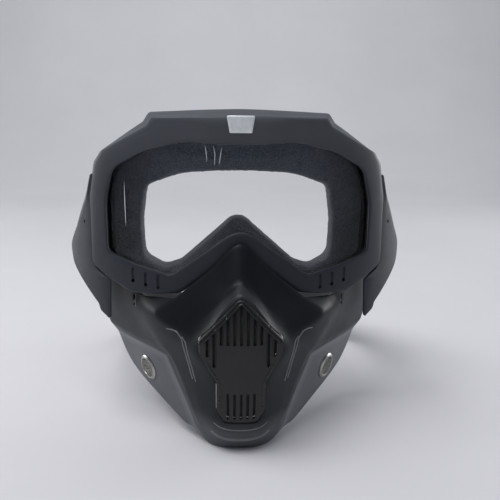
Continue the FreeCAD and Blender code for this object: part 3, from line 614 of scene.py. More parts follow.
def mask_painted_highlights(tree, place):
    """Where the mask carries painted highlights: a pale band along the cheek panels' edges and over their
    outer part, the chin and the shelf over the grille.
    """
    split = node(tree, "SeparateXYZ", {"Vector": place})
    height = split.outputs["Z"]
    aside = combined(tree, "ABSOLUTE", split.outputs["X"])
    slant = combined(tree, "ADD", aside, combined(tree, "MULTIPLY", height, -PANEL_SLOPE))
    past_side = combined(tree, "SUBTRACT", slant, PANEL_SIDE)
    inside = combined(tree, "MINIMUM", past_side, combined(tree, "SUBTRACT", PANEL_TOP, height))
    edge = fitted(tree, inside, 0.48, 0.3, 0.001, 0.0055)
    outer = fitted(tree, aside, 0.0, 0.2, 0.046, 0.062)
    covered = fitted(tree, inside, 0.0, 1.0, -0.001, 0.001)
    panel = combined(tree, "MULTIPLY", combined(tree, "ADD", edge, outer), covered)
    chin = fitted(tree, height, 0.0, 0.22, CHIN_START, CHIN_FULL)
    below = combined(tree, "ADD", height, combined(tree, "MULTIPLY", aside, SHELF_SLOPE))
    shelf = combined(tree, "MINIMUM", fitted(tree, below, 0.0, 1.0, SHELF_FOOT, SHELF_FOOT + 0.002),
                     fitted(tree, below, 1.0, 0.0, SHELF_TOP - 0.0015, SHELF_TOP))
    shelf = combined(tree, "MULTIPLY", shelf, fitted(tree, aside, 0.075, 0.0, 0.002, 0.024))
    return combined(tree, "MAXIMUM", combined(tree, "MAXIMUM", panel, chin), shelf)


def brow_painted_light(tree, place):
    """Painted light on the upper part of the frame: its colour turns paler towards the top."""
    split = node(tree, "SeparateXYZ", {"Vector": place})
    return fitted(tree, split.outputs["Z"], 0.0, 0.15, BROW_START, BROW_FULL)


def metal(slot, dark, light, gloss, scratch=(1, 1, 1), bare=1.0):
    """Bare or painted metal with fine marks along one direction."""
    material, tree, shader, place = new_material(slot, slot, Metallic=bare)
    stretched = node(tree, "Mapping", {"Vector": place, "Scale": scratch}).outputs["Vector"]
    lines = grain(tree, stretched, 3000.0, 4.0, 0.7)
    stain = grain(tree, place, 300.0, 4.0)
    tree.links.new(ramp(tree, stain, (0.35, dark), (0.65, light)), shader.inputs["Base Color"])
    tree.links.new(fitted(tree, lines, gloss[0], gloss[1]), shader.inputs["Roughness"])
    bumped(tree, shader, (lines, 0.015, 0.5))
    return material


def foam_material(slot, dark, light, cells=1500.0, depth=0.25):
    """Open cell foam: small pits of uneven size, pale flecks on their edges."""
    material, tree, shader, place = new_material(slot, slot, Roughness=0.95, Specular_IOR_Level=0.15,
                                                 Sheen_Weight=0.25, Sheen_Roughness=0.6)
    cell = node(tree, "TexVoronoi", {"Vector": place, "Scale": cells, "Randomness": 1.0}).outputs["Distance"]
    fleck = grain(tree, place, cells * 1.7, 2.0)
    cloud = grain(tree, place, 120.0, 3.0)
    pits, flecks = (combined(tree, "MULTIPLY", value, 0.55) for value in (cell, fleck))
    mixed = combined(tree, "ADD", pits, flecks)
    mixed = combined(tree, "ADD", mixed, fitted(tree, cloud, -0.12, 0.12))
    tree.links.new(ramp(tree, mixed, (0.34, dark), (0.62, light)), shader.inputs["Base Color"])
    bumped(tree, shader, (cell, depth, 0.8), (fleck, depth / 2, 0.5))
    return material


def webbing_material():
    """Woven elastic: ribs across, cords along, from a UV map in millimetres."""
    slot = "strap_webbing"
    material, tree, shader, place = new_material(slot, slot, Roughness=0.8, Specular_IOR_Level=0.25,
                                                 Sheen_Weight=0.3, Sheen_Roughness=0.5)
    flat = node(tree, "UVMap", uv_map="weave").outputs["UV"]
    split = node(tree, "SeparateXYZ", {"Vector": flat})

    def ridges(axis, turn):
        wave = combined(tree, "SINE", combined(tree, "MULTIPLY", split.outputs[axis], turn))
        return combined(tree, "ABSOLUTE", wave)

    rib, cord = ridges("X", 3.6), ridges("Y", 2.2)
    fuzz = grain(tree, place, 2200.0, 3.0)
    weave = combined(tree, "ADD", combined(tree, "MULTIPLY", rib, 0.6), combined(tree, "MULTIPLY", cord, 0.4))
    shade = combined(tree, "ADD", weave, fitted(tree, fuzz, -0.3, 0.3))
    tree.links.new(ramp(tree, shade, (0.1, (0.006, 0.0065, 0.008)), (0.9, (0.026, 0.027, 0.031))),
                   shader.inputs["Base Color"])
    bumped(tree, shader, (weave, 0.25, 0.9), (fuzz, 0.05, 0.5))
    return material


def lens_material():
    """Clear polycarbonate: it mirrors as glass does, with a faint haze and specks. The three short pale
    streaks on the lens, and a longer one, are painted reflections made as a piece of their own.
    """
    material, tree, shader, place = new_material("lens_clear", "lens_clear", Metallic=1.0)
    shader.inputs["Base Color"].default_value = (0.96, 0.97, 0.98, 1)
    shader.inputs["Roughness"].default_value = 0.035
    grazing = combined(tree, "POWER", node(tree, "LayerWeight", {"Blend": 0.5}).outputs["Facing"], 5)
    cells = node(tree, "TexVoronoi", {"Vector": place, "Scale": 190.0, "Randomness": 1.0})
    speck = fitted(tree, cells.outputs["Distance"], 0.5, 0.0, 0.0, 0.035)
    haze = fitted(tree, grain(tree, place, 45.0, 5.0, 0.7), 0.0, 0.008, 0.45, 0.8)
    mirror = fitted(tree, grazing, 0.012, 0.6)
    alpha = combined(tree, "ADD", combined(tree, "ADD", mirror, haze), speck)
    alpha = combined(tree, "MINIMUM", alpha, 0.95)
    tree.links.new(alpha, shader.inputs["Alpha"])
    return material


def make_materials():
    """One material for each slot of the record."""
    tint = (0.7, 0.83, 1.0, 1)
    satin = {"Specular_IOR_Level": 0.16, "Sheen_Weight": 0.03, "Sheen_Tint": tint}
    soft = {"Specular_IOR_Level": 0.22, "Sheen_Weight": 0.04, "Sheen_Tint": tint}
    return {
        # The mask's colour carries painted highlights on the cheek panels, the chin and the shelf over the
        # grille.
        "mask": moulded("mask_plastic", (0.005, 0.006, 0.0082), (0.008, 0.0094, 0.0125), (0.32, 0.42),
                        painted_light=mask_painted_highlights, **satin),
        # The pale colour of the mask's raised lines is a painted highlight.
        "bead": moulded("mask_plastic", (0.11, 0.114, 0.12), (0.17, 0.175, 0.185), (0.3, 0.42),
                        name="mask_bead_painted_highlight"),
        # The frame's colour turns paler towards the top of the brow: painted light.
        "frame": moulded("frame_plastic", (0.022, 0.0255, 0.033), (0.029, 0.033, 0.042), (0.42, 0.54),
                         painted_light=brow_painted_light, **soft),
        "tunnel": moulded("tunnel_rubber", (0.011, 0.012, 0.0145), (0.016, 0.0175, 0.021), (0.72, 0.86),
                          0.02, Specular_IOR_Level=0.15),
        "grille": moulded("grille_plastic", (0.009, 0.0094, 0.0098), (0.017, 0.017, 0.0166), (0.3, 0.44),
                          0.06, 1500.0, Specular_IOR_Level=0.38),
        "buckle": moulded("buckle_plastic", (0.008, 0.008, 0.009), (0.012, 0.012, 0.0132), (0.24, 0.36),
                          0.02),
        "gasket": moulded("gasket_rubber", (0.008, 0.008, 0.008), (0.012, 0.012, 0.012), (0.6, 0.75)),
        "grip": moulded("grip_silicone", (0.2, 0.21, 0.23), (0.28, 0.29, 0.31), (0.2, 0.34)),
        "badge": metal("badge_silver", (0.74, 0.79, 0.8), (0.86, 0.9, 0.9), (0.24, 0.42), (0.06, 1, 1), 0.3),
        "stud": metal("stud_metal", (0.4, 0.4, 0.41), (0.55, 0.55, 0.56), (0.18, 0.4)),
        "eyelet": metal("eyelet_metal", (0.3, 0.3, 0.28), (0.46, 0.46, 0.43), (0.24, 0.42)),
        "mesh": metal("mesh_metal", (0.2, 0.2, 0.18), (0.38, 0.38, 0.35), (0.3, 0.5)),
        "foam": foam_material("face_foam", (0.022, 0.027, 0.036), (0.1, 0.116, 0.144)),
        "lining": foam_material("lining_fleece", (0.02, 0.022, 0.03), (0.05, 0.055, 0.07), 2600.0, 0.1),
        "vent_foam": foam_material("vent_foam", (0.016, 0.017, 0.02), (0.06, 0.063, 0.07), 900.0, 0.4),
        "felt": foam_material("filter_felt", (0.02, 0.021, 0.021), (0.07, 0.072, 0.07), 2200.0, 0.15),
        "webbing": webbing_material(),
        "lens": lens_material(),
        # Pale streaks on the lens: a painted reflection.
        "painted_reflection": moulded("lens_clear", (0.6, 0.62, 0.65), (0.85, 0.87, 0.9), (0.2, 0.4), name="lens_painted_reflection"),
    }


# The goggles

def across(inner, outer, profile, surface):
    """One cross-section between matched points of an inner and an outer outline.

    Each step of the profile says where it is measured from (the inner point, the outer point or a
    share of the way), how far, and the inset of the surface that it lies on.
    """
    way = outer - inner
    unit = way.normalized()
    result = []
    for kind, amount, inset in profile:
        if kind == "in":
            p = inner + unit * amount
        elif kind == "out":
            p = outer - unit * amount
        else:
            p = inner + way * amount
        result.append(Vector((p.x, surface(p.x, inset), p.y)))
    return result


def make_front_frame(materials):
    """The curved front, its rolled lips and its rim, whose top rises towards the rear."""
    counts = counts_for(half_path(FRAME), FRAME_MARKS, 1.3)
    inner = stations(APERTURE, APERTURE_MARKS, counts)
    outer = stations(FRAME, FRAME_MARKS, counts)
    sections = []
    for a, b in zip(inner, outer):
        rise = RIM_RISE * smooth_step(26, 55, b.y)
        swell = BROW_SWELL * smooth_step(40, 56, b.y) * (1 - smooth_step(14, 30, abs(b.x)))
        profile = [("in", 0.5, FRAME_WALL), ("in", 0.0, 1.7), ("in", 0.0, 0.9), ("in", 0.3, 0.3),
                   ("in", 0.9, 0.0), ("in", 1.9, -0.05), ("share", 0.3, -0.1 - swell * 0.4),
                   ("share", 0.5, -0.1 - swell), ("share", 0.7, -0.1 - swell),
                   ("out", 2.4, 0.0 - swell * 0.6), ("out", 1.3, 0.1), ("out", 0.5, 0.45),
                   ("out", 0.08, 1.1), ("out", 0.0, 2.0), ("out", -rise * 0.45, RIM_DEPTH * 0.5),
                   ("out", -rise * 0.92, RIM_DEPTH * 0.9), ("out", -rise + 0.1, RIM_DEPTH - 0.25),
                   ("out", 0.6 - rise, RIM_DEPTH), ("out", 1.5 - rise, RIM_DEPTH),
                   ("out", 1.9 - rise, RIM_DEPTH - 0.4), ("out", 2.1 - rise * 0.5, RIM_DEPTH * 0.5),
                   ("out", 2.3, 3.4), ("out", 3.2, 2.4), ("share", 0.5, FRAME_WALL),
                   ("in", 1.6, FRAME_WALL)]
        sections.append(across(a, b, profile, front_y))
    obj = new_object("frame_front", loft(sections))
    cutters = []
    for side in (1, -1):
        for x, top, hole in LOBE_VENTS:
            front = front_y(x)
            cutters.append(capsule_part(side * x, top, hole - 1.0, VENT_GROOVE, front - 5, front + 0.9))
            depth = THROUGH_HOLE if x > 50 else BLIND_HOLE
            drill = lathe_part([(0, -6), (VENT_HOLE, -6), (VENT_HOLE, depth), (0, depth)], 20)
            cutters.append(moved(drill, facing((side * x, front, hole), (0, 1, 0))))
    cut(obj, merged(*cutters))
    return finish_piece(obj, "goggles", materials["frame"], ["front_frame"])


def lens_grid(outline, insets, columns=90, rows=30):
    """A curved sheet that fills an outline: front and back grids with the edge between."""
    path = half_path(outline)
    widest = max(range(len(path)), key=lambda i: path[i].x)
    upper = path[:widest + 1]
    lower = list(reversed(path[widest:]))

    def height(side, x):
        for a, b in zip(side, side[1:]):
            if a.x <= x <= b.x:
                return a.y + (b.y - a.y) * (x - a.x) / max(b.x - a.x, 1e-9)
        return side[-1].y

    reach = path[widest].x - 0.02
    layers = []
    for inset in insets:
        grid = []
        for i in range(columns + 1):
            x = reach * math.sin(math.pi / 2 * (2 * i / columns - 1))
            top = height(upper, abs(x))
            foot = height(lower, abs(x))
            heights = [foot + (top - foot) * j / rows for j in range(rows + 1)]
            grid.append([Vector((x, front_y(x, inset), z)) for z in heights])
        layers.append(grid)
    points = [p for grid in layers for column in grid for p in column]
    stride = rows + 1
    shift = (columns + 1) * stride
    faces = []
    for i in range(columns):
        for j in range(rows):
            a = i * stride + j
            quad = (a, a + stride, a + stride + 1, a + 1)
            faces.append(quad)
            faces.append(tuple(k + shift for k in reversed(quad)))
    for i in range(columns):
        for j in (0, rows):
            a = i * stride + j
            b = a + stride
            faces.append((a, a + shift, b + shift, b))
    for i in (0, columns):
        for j in range(rows):
            a = i * stride + j
            faces.append((a, a + 1, a + 1 + shift, a + shift))
    return points, faces


def make_lens(materials):
    """The clear lens and the seal behind its edge."""
    lap = grown_half(APERTURE, 3.0)
    sheet = new_object("lens_clear", lens_grid(lap, (FRAME_WALL, FRAME_WALL + LENS_THICK)))
    finish_piece(sheet, "goggles", materials["lens"], ["lens"])
    # Pale streaks standing on the lens: painted reflections of lamps.
    reflection_streaks = []
    for route in LENS_REFLECTION_STREAKS:
        path = [Vector(p) for p in route]
        reach = travelled(path)
        sections = []
        for k in range(13):
            p = point_at(path, reach, reach[-1] * k / 12)
            half = STREAK_THIN + STREAK_SWELL * math.sin(math.pi * k / 12)
            spots = ((p.x - half, 0.0), (p.x, STREAK_PROUD), (p.x + half, 0.0), (p.x, -0.03))
            sections.append([Vector((x, front_y(x, FRAME_WALL) - lift, p.y)) for x, lift in spots])
        reflection_streaks.append(loft(sections, ring=False))
    finish_piece(new_object("lens_painted_reflections", merged(*reflection_streaks)), "goggles", materials["painted_reflection"], sharp=60)
    counts = counts_for(half_path(APERTURE), APERTURE_MARKS, 2.0)
    inner = stations(APERTURE, APERTURE_MARKS, counts)
    front = FRAME_WALL + LENS_THICK
    profile = [("in", 0.3, front + 0.3), ("in", 0.6, front), ("in", 2.8, front), ("in", 3.0, front + 0.4),
               ("in", 2.8, front + GASKET_THICK), ("in", 1.0, front + GASKET_THICK), ("in", 0.4, front + 1.1)]
    outer = stations(FRAME, FRAME_MARKS, counts)
    seal = new_object("lens_seal", loft([across(a, b, profile, front_y) for a, b in zip(inner, outer)]))
    finish_piece(seal, "goggles", materials["gasket"], ["lens_gasket"])


def tunnel_point(front, back, y, offset, centre):
    """A point of the tunnel's wall at a depth, moved outwards by the offset."""
    p = front.lerp(back, (y - TUNNEL_FRONT) / (TUNNEL_BACK - TUNNEL_FRONT))
    outward = (p - centre).normalized()
    return p + outward * offset


def make_foams(materials):
    """The face foam, which wraps round the flange's inner edge, and the lining behind it."""
    counts = counts_for(half_path(FACE_RING), FACE_MARKS, 1.3)
    eye = stations(EYE_OPENING, EYE_MARKS, counts)
    front = stations(grown_half(APERTURE, 6.0), TUNNEL_MARKS, counts)
    back = stations(FACE_RING, FACE_MARKS, counts)
    flange_back = FOAM_THICK + LINING_THICK
    flange_front = flange_back + FLANGE_THICK

    def ring_section(i, profile):
        result = []
        for kind, amount, offset in profile:
            y = face_y(back[i].x, offset)
            wall = tunnel_point(front[i], back[i], y, -2.0, eye[i])
            outside = tunnel_point(front[i], back[i], y, 0.0, eye[i])
            unit = (wall - eye[i]).normalized()
            if kind == "eye":
                p = eye[i] + unit * amount
            elif kind == "wall":
                p = wall - unit * amount
            elif kind == "outside":
                p = outside - unit * amount
            else:
                p = eye[i].lerp(wall, amount)
            result.append(Vector((p.x, face_y(p.x, offset), p.y)))
        return result

    foam_profile = [("eye", 0.4, 2.1), ("eye", 0.05, 3.4), ("eye", -0.3, 6.5), ("eye", -0.35, 10),
                    ("eye", -0.15, 13), ("eye", 0.25, 15.2), ("eye", 0.9, 16.6), ("eye", 2.0, 17.4),
                    ("eye", 3.6, 17.8), ("share", 0.4, 18.1), ("share", 0.6, 18.2), ("share", 0.8, 18.0),
                    ("wall", 1.0, 17.6), ("wall", 0.3, 17.0), ("wall", 0.3, flange_front + 0.1),
                    ("share", 0.6, flange_front + 0.1), ("eye", 4.0, flange_front + 0.1),
                    ("eye", 3.8, flange_back), ("share", 0.6, flange_back - 0.1),
                    ("outside", 0.8, flange_back - 0.15), ("outside", 0.5, flange_back - 1.2),
                    ("outside", 0.25, 9.0), ("outside", 0.45, 5.0), ("outside", 0.9, 2.6),
                    ("outside", 1.6, 2.1), ("share", 0.5, 2.1)]
    foam = new_object("foam_face", loft([ring_section(i, foam_profile) for i in range(len(eye))]))
    ruffle(foam, 0.3, 420.0)
    ruffle(foam, 0.24, 1300.0)
    finish_piece(foam, "goggles", materials["foam"], ["face_foam"], sharp=80)
    lining_profile = [("eye", 1.0, 0.5), ("eye", 0.6, 1.2), ("eye", 0.9, 1.9), ("share", 0.3, 2.0),
                      ("share", 0.7, 2.0), ("outside", 1.6, 1.9), ("outside", 1.1, 1.2),
                      ("outside", 1.6, 0.4), ("share", 0.75, 0.0), ("share", 0.3, 0.0)]
    lining = new_object("foam_lining_ring", loft([ring_section(i, lining_profile) for i in range(len(eye))]))
    ruffle(lining, 0.1, 900.0)
    finish_piece(lining, "goggles", materials["lining"], ["foam_lining"], sharp=80)


def wing_part():
    """The left outrigger on the front's curve, and its ear with the stud's hole."""
    outer_path = dense([(84.6, 27.2, 0.3)] + WING_OUTER + WING_INNER)
    tip = min(range(len(outer_path)), key=lambda i: outer_path[i].y)
    top = max(range(len(outer_path)), key=lambda i: outer_path[i].y)
    outer = [outer_path[i] for i in range(top, tip + 1)]
    inner = list(reversed(outer_path[tip:] + outer_path[:top + 1]))
    count = 70
    sections = []
    for k in range(count + 1):
        share = (1 - math.cos(math.pi * k / count)) / 2 * 0.3 + k / count * 0.7
        height = outer[0].y + (outer[-1].y - outer[0].y) * share
        a, b = at_height(inner, height), at_height(outer, height)
        width = (b - a).length
        lip = min(1.0, width * 0.3)
        under = -1.2 if height > -29 else 0.0
        profile = [("in", under, 0.75), ("in", under + 0.2, 0.35), ("in", lip, 0.05), ("share", 0.35, 0.0),
                   ("share", 0.65, 0.0), ("out", 1.4 * lip, 0.0), ("out", 0.5 * lip, 0.2),
                   ("out", 0.05 * lip, 0.75), ("out", 0.0, 1.5), ("out", 0.4 * lip, 2.1), ("out", lip, 2.2),
                   ("share", 0.5, 2.2), ("in", 0.4 * lip, 2.2), ("in", under, 1.8)]
        sections.append(across(a, b, profile, front_y))
    skin = loft(sections, ring=False)
    low, high = -STUD_DROP - EAR_RADIUS, -STUD_DROP + EAR_RADIUS
    loop = [(-11.0, low), (-11.0, high)]
    turns = [math.pi * k / 16 for k in range(17)]
    loop += [(STUD_REACH + EAR_RADIUS * math.sin(a), -STUD_DROP + EAR_RADIUS * math.cos(a)) for a in turns]
    hole = circle(STUD_RADIUS, 32, (STUD_REACH, -STUD_DROP))
    ear = plate_part([loop, hole], EAR_THICK, 0.5)
    gusset = round_block((EAR_INNER + 0.3, -12.5, -STUD_DROP - 1.0),
                         (EAR_INNER + EAR_THICK - 0.3, -6, -STUD_DROP + 1.0))
    return merged(skin, moved(ear, standing(EAR_INNER + EAR_THICK / 2)), gusset)


def at_height(path, height):
    """The point of a path that runs downwards, at a height."""
    for a, b in zip(path, path[1:]):
        if a.y >= height >= b.y:
            return a.lerp(b, (a.y - height) / max(a.y - b.y, 1e-9))
    return path[-1].copy() if height < path[-1].y else path[0].copy()


def make_badge(materials):
    """A plain trapezoid plate with a soft edge, curved with the brow."""
    rings = []
    for inset, proud in ((0.0, -0.6), (0.0, 0.55), (0.14, 0.85), (0.35, 1.0), (1.6, 1.05)):
        moved_in = [p + (BADGE_CENTRE - p).normalized() * inset for p in dense(BADGE)]
        rings.append([Vector((p.x, front_y(p.x) - proud, p.y)) for p in moved_in])
    plate = new_object("badge_plate", loft(rings, ring=False))
    finish_piece(plate, "goggles", materials["badge"], ["brow_badge"])


def make_studs(materials):
    """Domed rivets with a small dimple."""
    under = LEG_OFFSET + CLIP_THICK / 2 + 0.3 - EAR_INNER
    profile = [(0, -0.9), (STUD_RADIUS + 0.9, -0.9), (STUD_RADIUS + 1.2, -0.5), (STUD_RADIUS, 0),
               (STUD_RADIUS, under), (STUD_HEAD - 0.2, under), (STUD_HEAD, under + 0.3),
               (STUD_HEAD - 0.1, under + 0.8), (STUD_HEAD - 0.9, under + 1.3), (3.2, under + 1.55),
               (1.8, under + 1.6), (1.4, under + 1.25), (0, under + 1.1)]
    rivet = moved(lathe_part(profile), facing((EAR_INNER, STUD_REACH, -STUD_DROP), (1, 0, 0)))
    pair("rivet", rivet, "goggles", materials["stud"], "strap_stud")


# The strap, in its own frame with the studs' axis on X and the legs along +Y

def strap_matrix():
    """Where the strap's own frame stands."""
    turn = Matrix.Rotation(math.radians(-STRAP_DROOP), 4, "X")
    return Matrix.Translation((0, STUD_REACH, -STUD_DROP)) @ turn


def make_clips(materials):
    """Flat plates with the stud's hole, a window for the webbing and two ribs."""
    tip = 9.0
    half = STRAP_WIDE / 2 + 3
    end = CLIP_LENGTH
    outline = [(-tip, -tip, tip * 0.9), (-tip, tip, tip * 0.9), (4, tip, 4), (13, half, 5), (end, half, 3),
               (end, -half, 3), (13, -half, 5), (4, -tip, 4)]
    slot_half = STRAP_WIDE / 2 + 0.5
    window = [(end - 9, slot_half, 1), (end - 5, slot_half, 1), (end - 5, -slot_half, 1),
              (end - 9, -slot_half, 1)]
    loops = [[tuple(p) for p in dense(loop)] for loop in (outline, window)] + [circle(STUD_RADIUS + 0.05, 36)]
    plate = plate_part(loops, CLIP_THICK, 0.45)
    face = CLIP_THICK / 2
    ribs = []
    for i in range(2):
        start, reach = 13 + 3 * i, 9 - 1.5 * i
        ribs.append(round_block((start, -reach, face - 0.3), (start + 1.2, reach, face + 0.5), 2, 0.3))
    left = moved(merged(plate, *ribs), strap_matrix() @ standing(LEG_OFFSET))
    pair("clip", left, "strap", materials["buckle"], "strap_clip")


def strap_path():
    """The middle line of the webbing in plan, from the folded left end round to the right one."""
    bar = 25.6                     # middle of the turn round the clip's bar
    turn = CLIP_THICK / 2 + STRAP_THICK / 2 + 0.25
    inner = LEG_OFFSET - STRAP_THICK + 0.02
    half = [Vector((inner, 43.0)), Vector((inner, 36.0)), Vector((LEG_OFFSET - turn + 0.15, 32.0)),
            Vector((LEG_OFFSET - turn, bar + 2.0))]
    half += [Vector((LEG_OFFSET - turn * math.cos(math.pi * k / 8), bar - turn * math.sin(math.pi * k / 8)))
             for k in range(9)]
    half += [Vector((LEG_OFFSET + turn, bar + 3.5)), Vector((LEG_OFFSET + turn * 0.55, bar + 7.0)),
             Vector((LEG_OFFSET + 0.3, bar + 11.0)), Vector((LEG_OFFSET, bar + 15.0))]
    straight = STRAP_LENGTH - STRAP_CORNER
    half += [Vector((LEG_OFFSET, 44 + (straight - 44) * k / 16)) for k in range(1, 17)]
    centre = Vector((LEG_OFFSET - STRAP_CORNER, straight))
    half += [centre + Vector((math.cos(a), math.sin(a))) * STRAP_CORNER
             for a in (math.pi / 2 * k / 14 for k in range(1, 15))]
    half += [Vector((centre.x * (1 - k / 8), STRAP_LENGTH)) for k in range(1, 9)]
    return half + [Vector((-p.x, p.y)) for p in reversed(half[:-1])]


def make_webbing(materials):
    """One length of webbing from clip to clip, its folded ends sewn down with box stitches."""
    path = strap_path()
    matrix = strap_matrix()
    half = STRAP_WIDE / 2
    thick = STRAP_THICK / 2
    rows = [(-half + 0.5, -thick), (-half + 0.12, -thick * 0.6), (-half, 0), (-half + 0.12, thick * 0.6),
            (-half + 0.5, thick)]
    rows += [(-half + 0.5 + (STRAP_WIDE - 1) * k / 12, thick) for k in range(1, 12)]
    rows += [(half - 0.5, thick), (half - 0.12, thick * 0.6), (half, 0), (half - 0.12, -thick * 0.6),
             (half - 0.5, -thick)]
    rows += [(half - 0.5 - (STRAP_WIDE - 1) * k / 12, -thick) for k in range(1, 12)]
    reach = travelled(path)
    sections = []
    for p, way in zip(path, ways(path)):
        normal = Vector((way.y, -way.x))
        ring = [Vector((p.x + normal.x * off, p.y + normal.y * off, height)) for height, off in rows]
        sections.append([matrix @ q for q in ring])
    obj = new_object("strap_webbing_band", loft(sections, ring=False))
    layer = obj.data.uv_layers.new(name="weave")
    count = len(rows)
    for loop in obj.data.loops:
        i, j = divmod(loop.vertex_index, count)
        layer.data[loop.index].uv = (reach[i], rows[j][0] + rows[j][1])
    nodes = ["strap_web_left", "strap_web_right", "strap_rear"]
    finish_piece(obj, "strap", materials["webbing"], nodes, sharp=50)
    thread = []
    for side in (1, -1):
        for height in (-15.5, 15.5):
            thread += stitch_run(Vector((35.5, height)), Vector((42.0, height)), side)
        for along in (35.5, 42.0):
            thread += stitch_run(Vector((along, -15.5)), Vector((along, 15.5)), side)
        for low, high in ((-15.5, 15.5), (15.5, -15.5)):
            thread += stitch_run(Vector((35.5, low)), Vector((42.0, high)), side)
    stitches = new_object("strap_stitching", moved(merged(*thread), matrix))
    finish_piece(stitches, "strap", materials["grip"], sharp=60)


def stitch_run(start, end, side):
    """Short threads in a row on the outer face of the webbing, from start to end (along, height)."""
    length = (end - start).length
    number = max(1, int(length / 2.2))
    way = (end - start) / number
    parts = []
    for i in range(number):
        a = start + way * (i + 0.14)
        b = start + way * (i + 0.86)
        outside = LEG_OFFSET + STRAP_THICK / 2
        middle = a.lerp(b, 0.5)
        spots = [(a, 0.0), (a.lerp(b, 0.25), 0.16), (middle, 0.22), (a.lerp(b, 0.75), 0.16), (b, 0.0)]
        parts.append(thread_part([Vector((side * (outside + lift), q.x, q.y)) for q, lift in spots], 0.2))
    return parts


def thread_part(points, radius, sides=6):
    """A thin round thread through a few points."""
    turns = [2 * math.pi * k / sides for k in range(sides)]
    sections = []
    for p, way in zip(points, ways(points)):
        side = way.orthogonal().normalized()
        up = way.cross(side)
        sections.append([p + (side * math.cos(a) + up * math.sin(a)) * radius for a in turns])
    return loft(sections, ring=False)


def make_grips(materials):
    """Three wavy silicone lines inside the rear of the strap."""
    matrix = strap_matrix()
    reach = LEG_OFFSET - STRAP_CORNER
    inside = STRAP_LENGTH - STRAP_THICK / 2
    profile = [(-1, 0.02), (-0.8, -0.35), (-0.4, -0.55), (0, -0.6), (0.4, -0.55), (0.8, -0.35), (1, 0.02)]
    parts = []
    for height in (-12, 0, 12):
        sections = []
        for k in range(121):
            x = -reach + 2 * reach * k / 120
            wave = 0.7 * math.sin(x * 0.55)
            width = 0.8 + 0.05 * math.sin(x * 2.1)
            spots = [(height + wave + share * width, off) for share, off in profile]
            sections.append([Vector((x, inside + off, z)) for z, off in spots])
        parts.append(loft(sections, ring=False))
    obj = new_object("grip_lines", moved(merged(*parts), matrix))
    finish_piece(obj, "strap", materials["grip"], ["silicone_grips"], sharp=60)


def make_adjusters(materials):
    """Ribbed sliders that run on the legs."""
    half_thick = ADJUSTER_THICK / 2
    half_tall = STRAP_WIDE / 2 + 4.5
    gap = STRAP_THICK / 2 + 0.4
    half_slot = STRAP_WIDE / 2 + 0.4
    outline = [(-half_thick, half_tall, 1.5), (half_thick, half_tall, 1.5), (half_thick, -half_tall, 1.5),
               (-half_thick, -half_tall, 1.5)]
    window = [(-gap, half_slot), (gap, half_slot), (gap, -half_slot), (-gap, -half_slot)]
    body = plate_part([[tuple(p) for p in dense(outline)], window], ADJUSTER_LENGTH, 0.35)
    body = moved(body, Matrix(((1, 0, 0, 0), (0, 0, 1, 0), (0, 1, 0, 0), (0, 0, 0, 1))))
    ribs = []
    for i in range(-2, 3):
        ribs.append(round_block((half_thick - 0.4, i * 2.6 - 0.6, -half_tall + 3.5),
                                (half_thick + 0.45, i * 2.6 + 0.6, half_tall - 3.5), 2, 0.3))
    place = strap_matrix() @ Matrix.Translation((LEG_OFFSET, ADJUSTER_PLACE, 0))
    left = moved(merged(body, *ribs), place)
    pair("slider", left, "adjuster_{side}", materials["buckle"], "adjuster")


# The mask

def cheek(x, z):
    """A point on the flat cheek that the round vent sits in."""
    y = CHEEK_POINT.y - (0.79 * (x - CHEEK_POINT.x) - 0.17 * (z - CHEEK_POINT.z)) / -0.59
    return (x, y, z)


def mask_grid():
    """The outer surface of the left half, row by row from the top edge to the chin."""
    return [
        [(0, -56, -7), (12, -55.3, -17.5), (24, -54, -28), (36, -51.5, -38.4), (46.5, -42, -40.2),
         (57, -32, -41.2), (69, -14.5, -37.5), (77, -6, -34), (84, 5, -33), (81, 13, -34)],
        [(0, -65, -26), (8.5, -65.5, -32.2), (17.3, -65.3, -40.6), (32.5, -60.5, -53.6), (48, -48, -49.5),
         (57, -34.5, -52), (67.5, -19, -52.5), (77, -7, -51.5), (85, 5, -50), (82, 14, -50)],
        [(0, -74, -31.4), (11.5, -73.5, -42.5), (22.4, -70.5, -56.9), (31, -61.5, -61), (43.5, -44.5, -69),
         (49.5, -36, -69.8), (61, -21, -71), (72, -7, -71), (81.5, 5, -69.5), (77, 14, -68)],
        [(0, -77.5, -57), (11.5, -76, -62), (21, -71.5, -66), (28.5, -62, -70), (38.5, -49, -74),
         cheek(42, -75.5), cheek(57, -77), cheek(68, -77.5), (76.5, 5.5, -77), (71, 14, -76)],
        [(0, -77.5, -80), (9, -76.8, -80), (14.5, -74.5, -79), (25.5, -62.5, -82), (32.5, -53.5, -86),
         cheek(36, -87), cheek(49, -90.5), cheek(60, -93), (66.8, -3, -95), (60, 8, -93)],
        [(0, -74.2, -101), (8, -73.8, -100.6), (14.5, -71, -98), (22.5, -63, -98.5), (27, -56.6, -101),
         cheek(29.5, -102), cheek(37.5, -104), cheek(44.5, -105.5), (49.5, -22.5, -107), (43, -10, -105.5)],
        [(0, -70, -112), (8, -69.5, -111.6), (14.5, -66.5, -110.6), (19, -62, -110.8), (22, -58.5, -112),
         (24, -56, -112.5), (27, -52, -113), (30, -48, -113.8), (32.5, -44.5, -114.8), (28, -33, -113.5)],
        [(0, -62.5, -122.8), (7, -62, -122.8), (12.5, -60.8, -122.4), (16.5, -58.8, -121.6),
         (19, -56.8, -120.8), (20.5, -55, -120.2), (22.5, -52.5, -119.2), (24.5, -50, -118.2),
         (26.5, -47, -117.4), (23.5, -37, -116)],
        [(0, -46, -122.8), (6, -45.7, -122.6), (10.5, -45, -122), (14, -43.8, -121), (16, -42.6, -120.2),
         (17.2, -41.6, -119.5), (18.8, -40.4, -118.6), (20.2, -39.2, -117.8), (21.4, -38, -117.1),
         (20.5, -36, -116.2)],
    ]


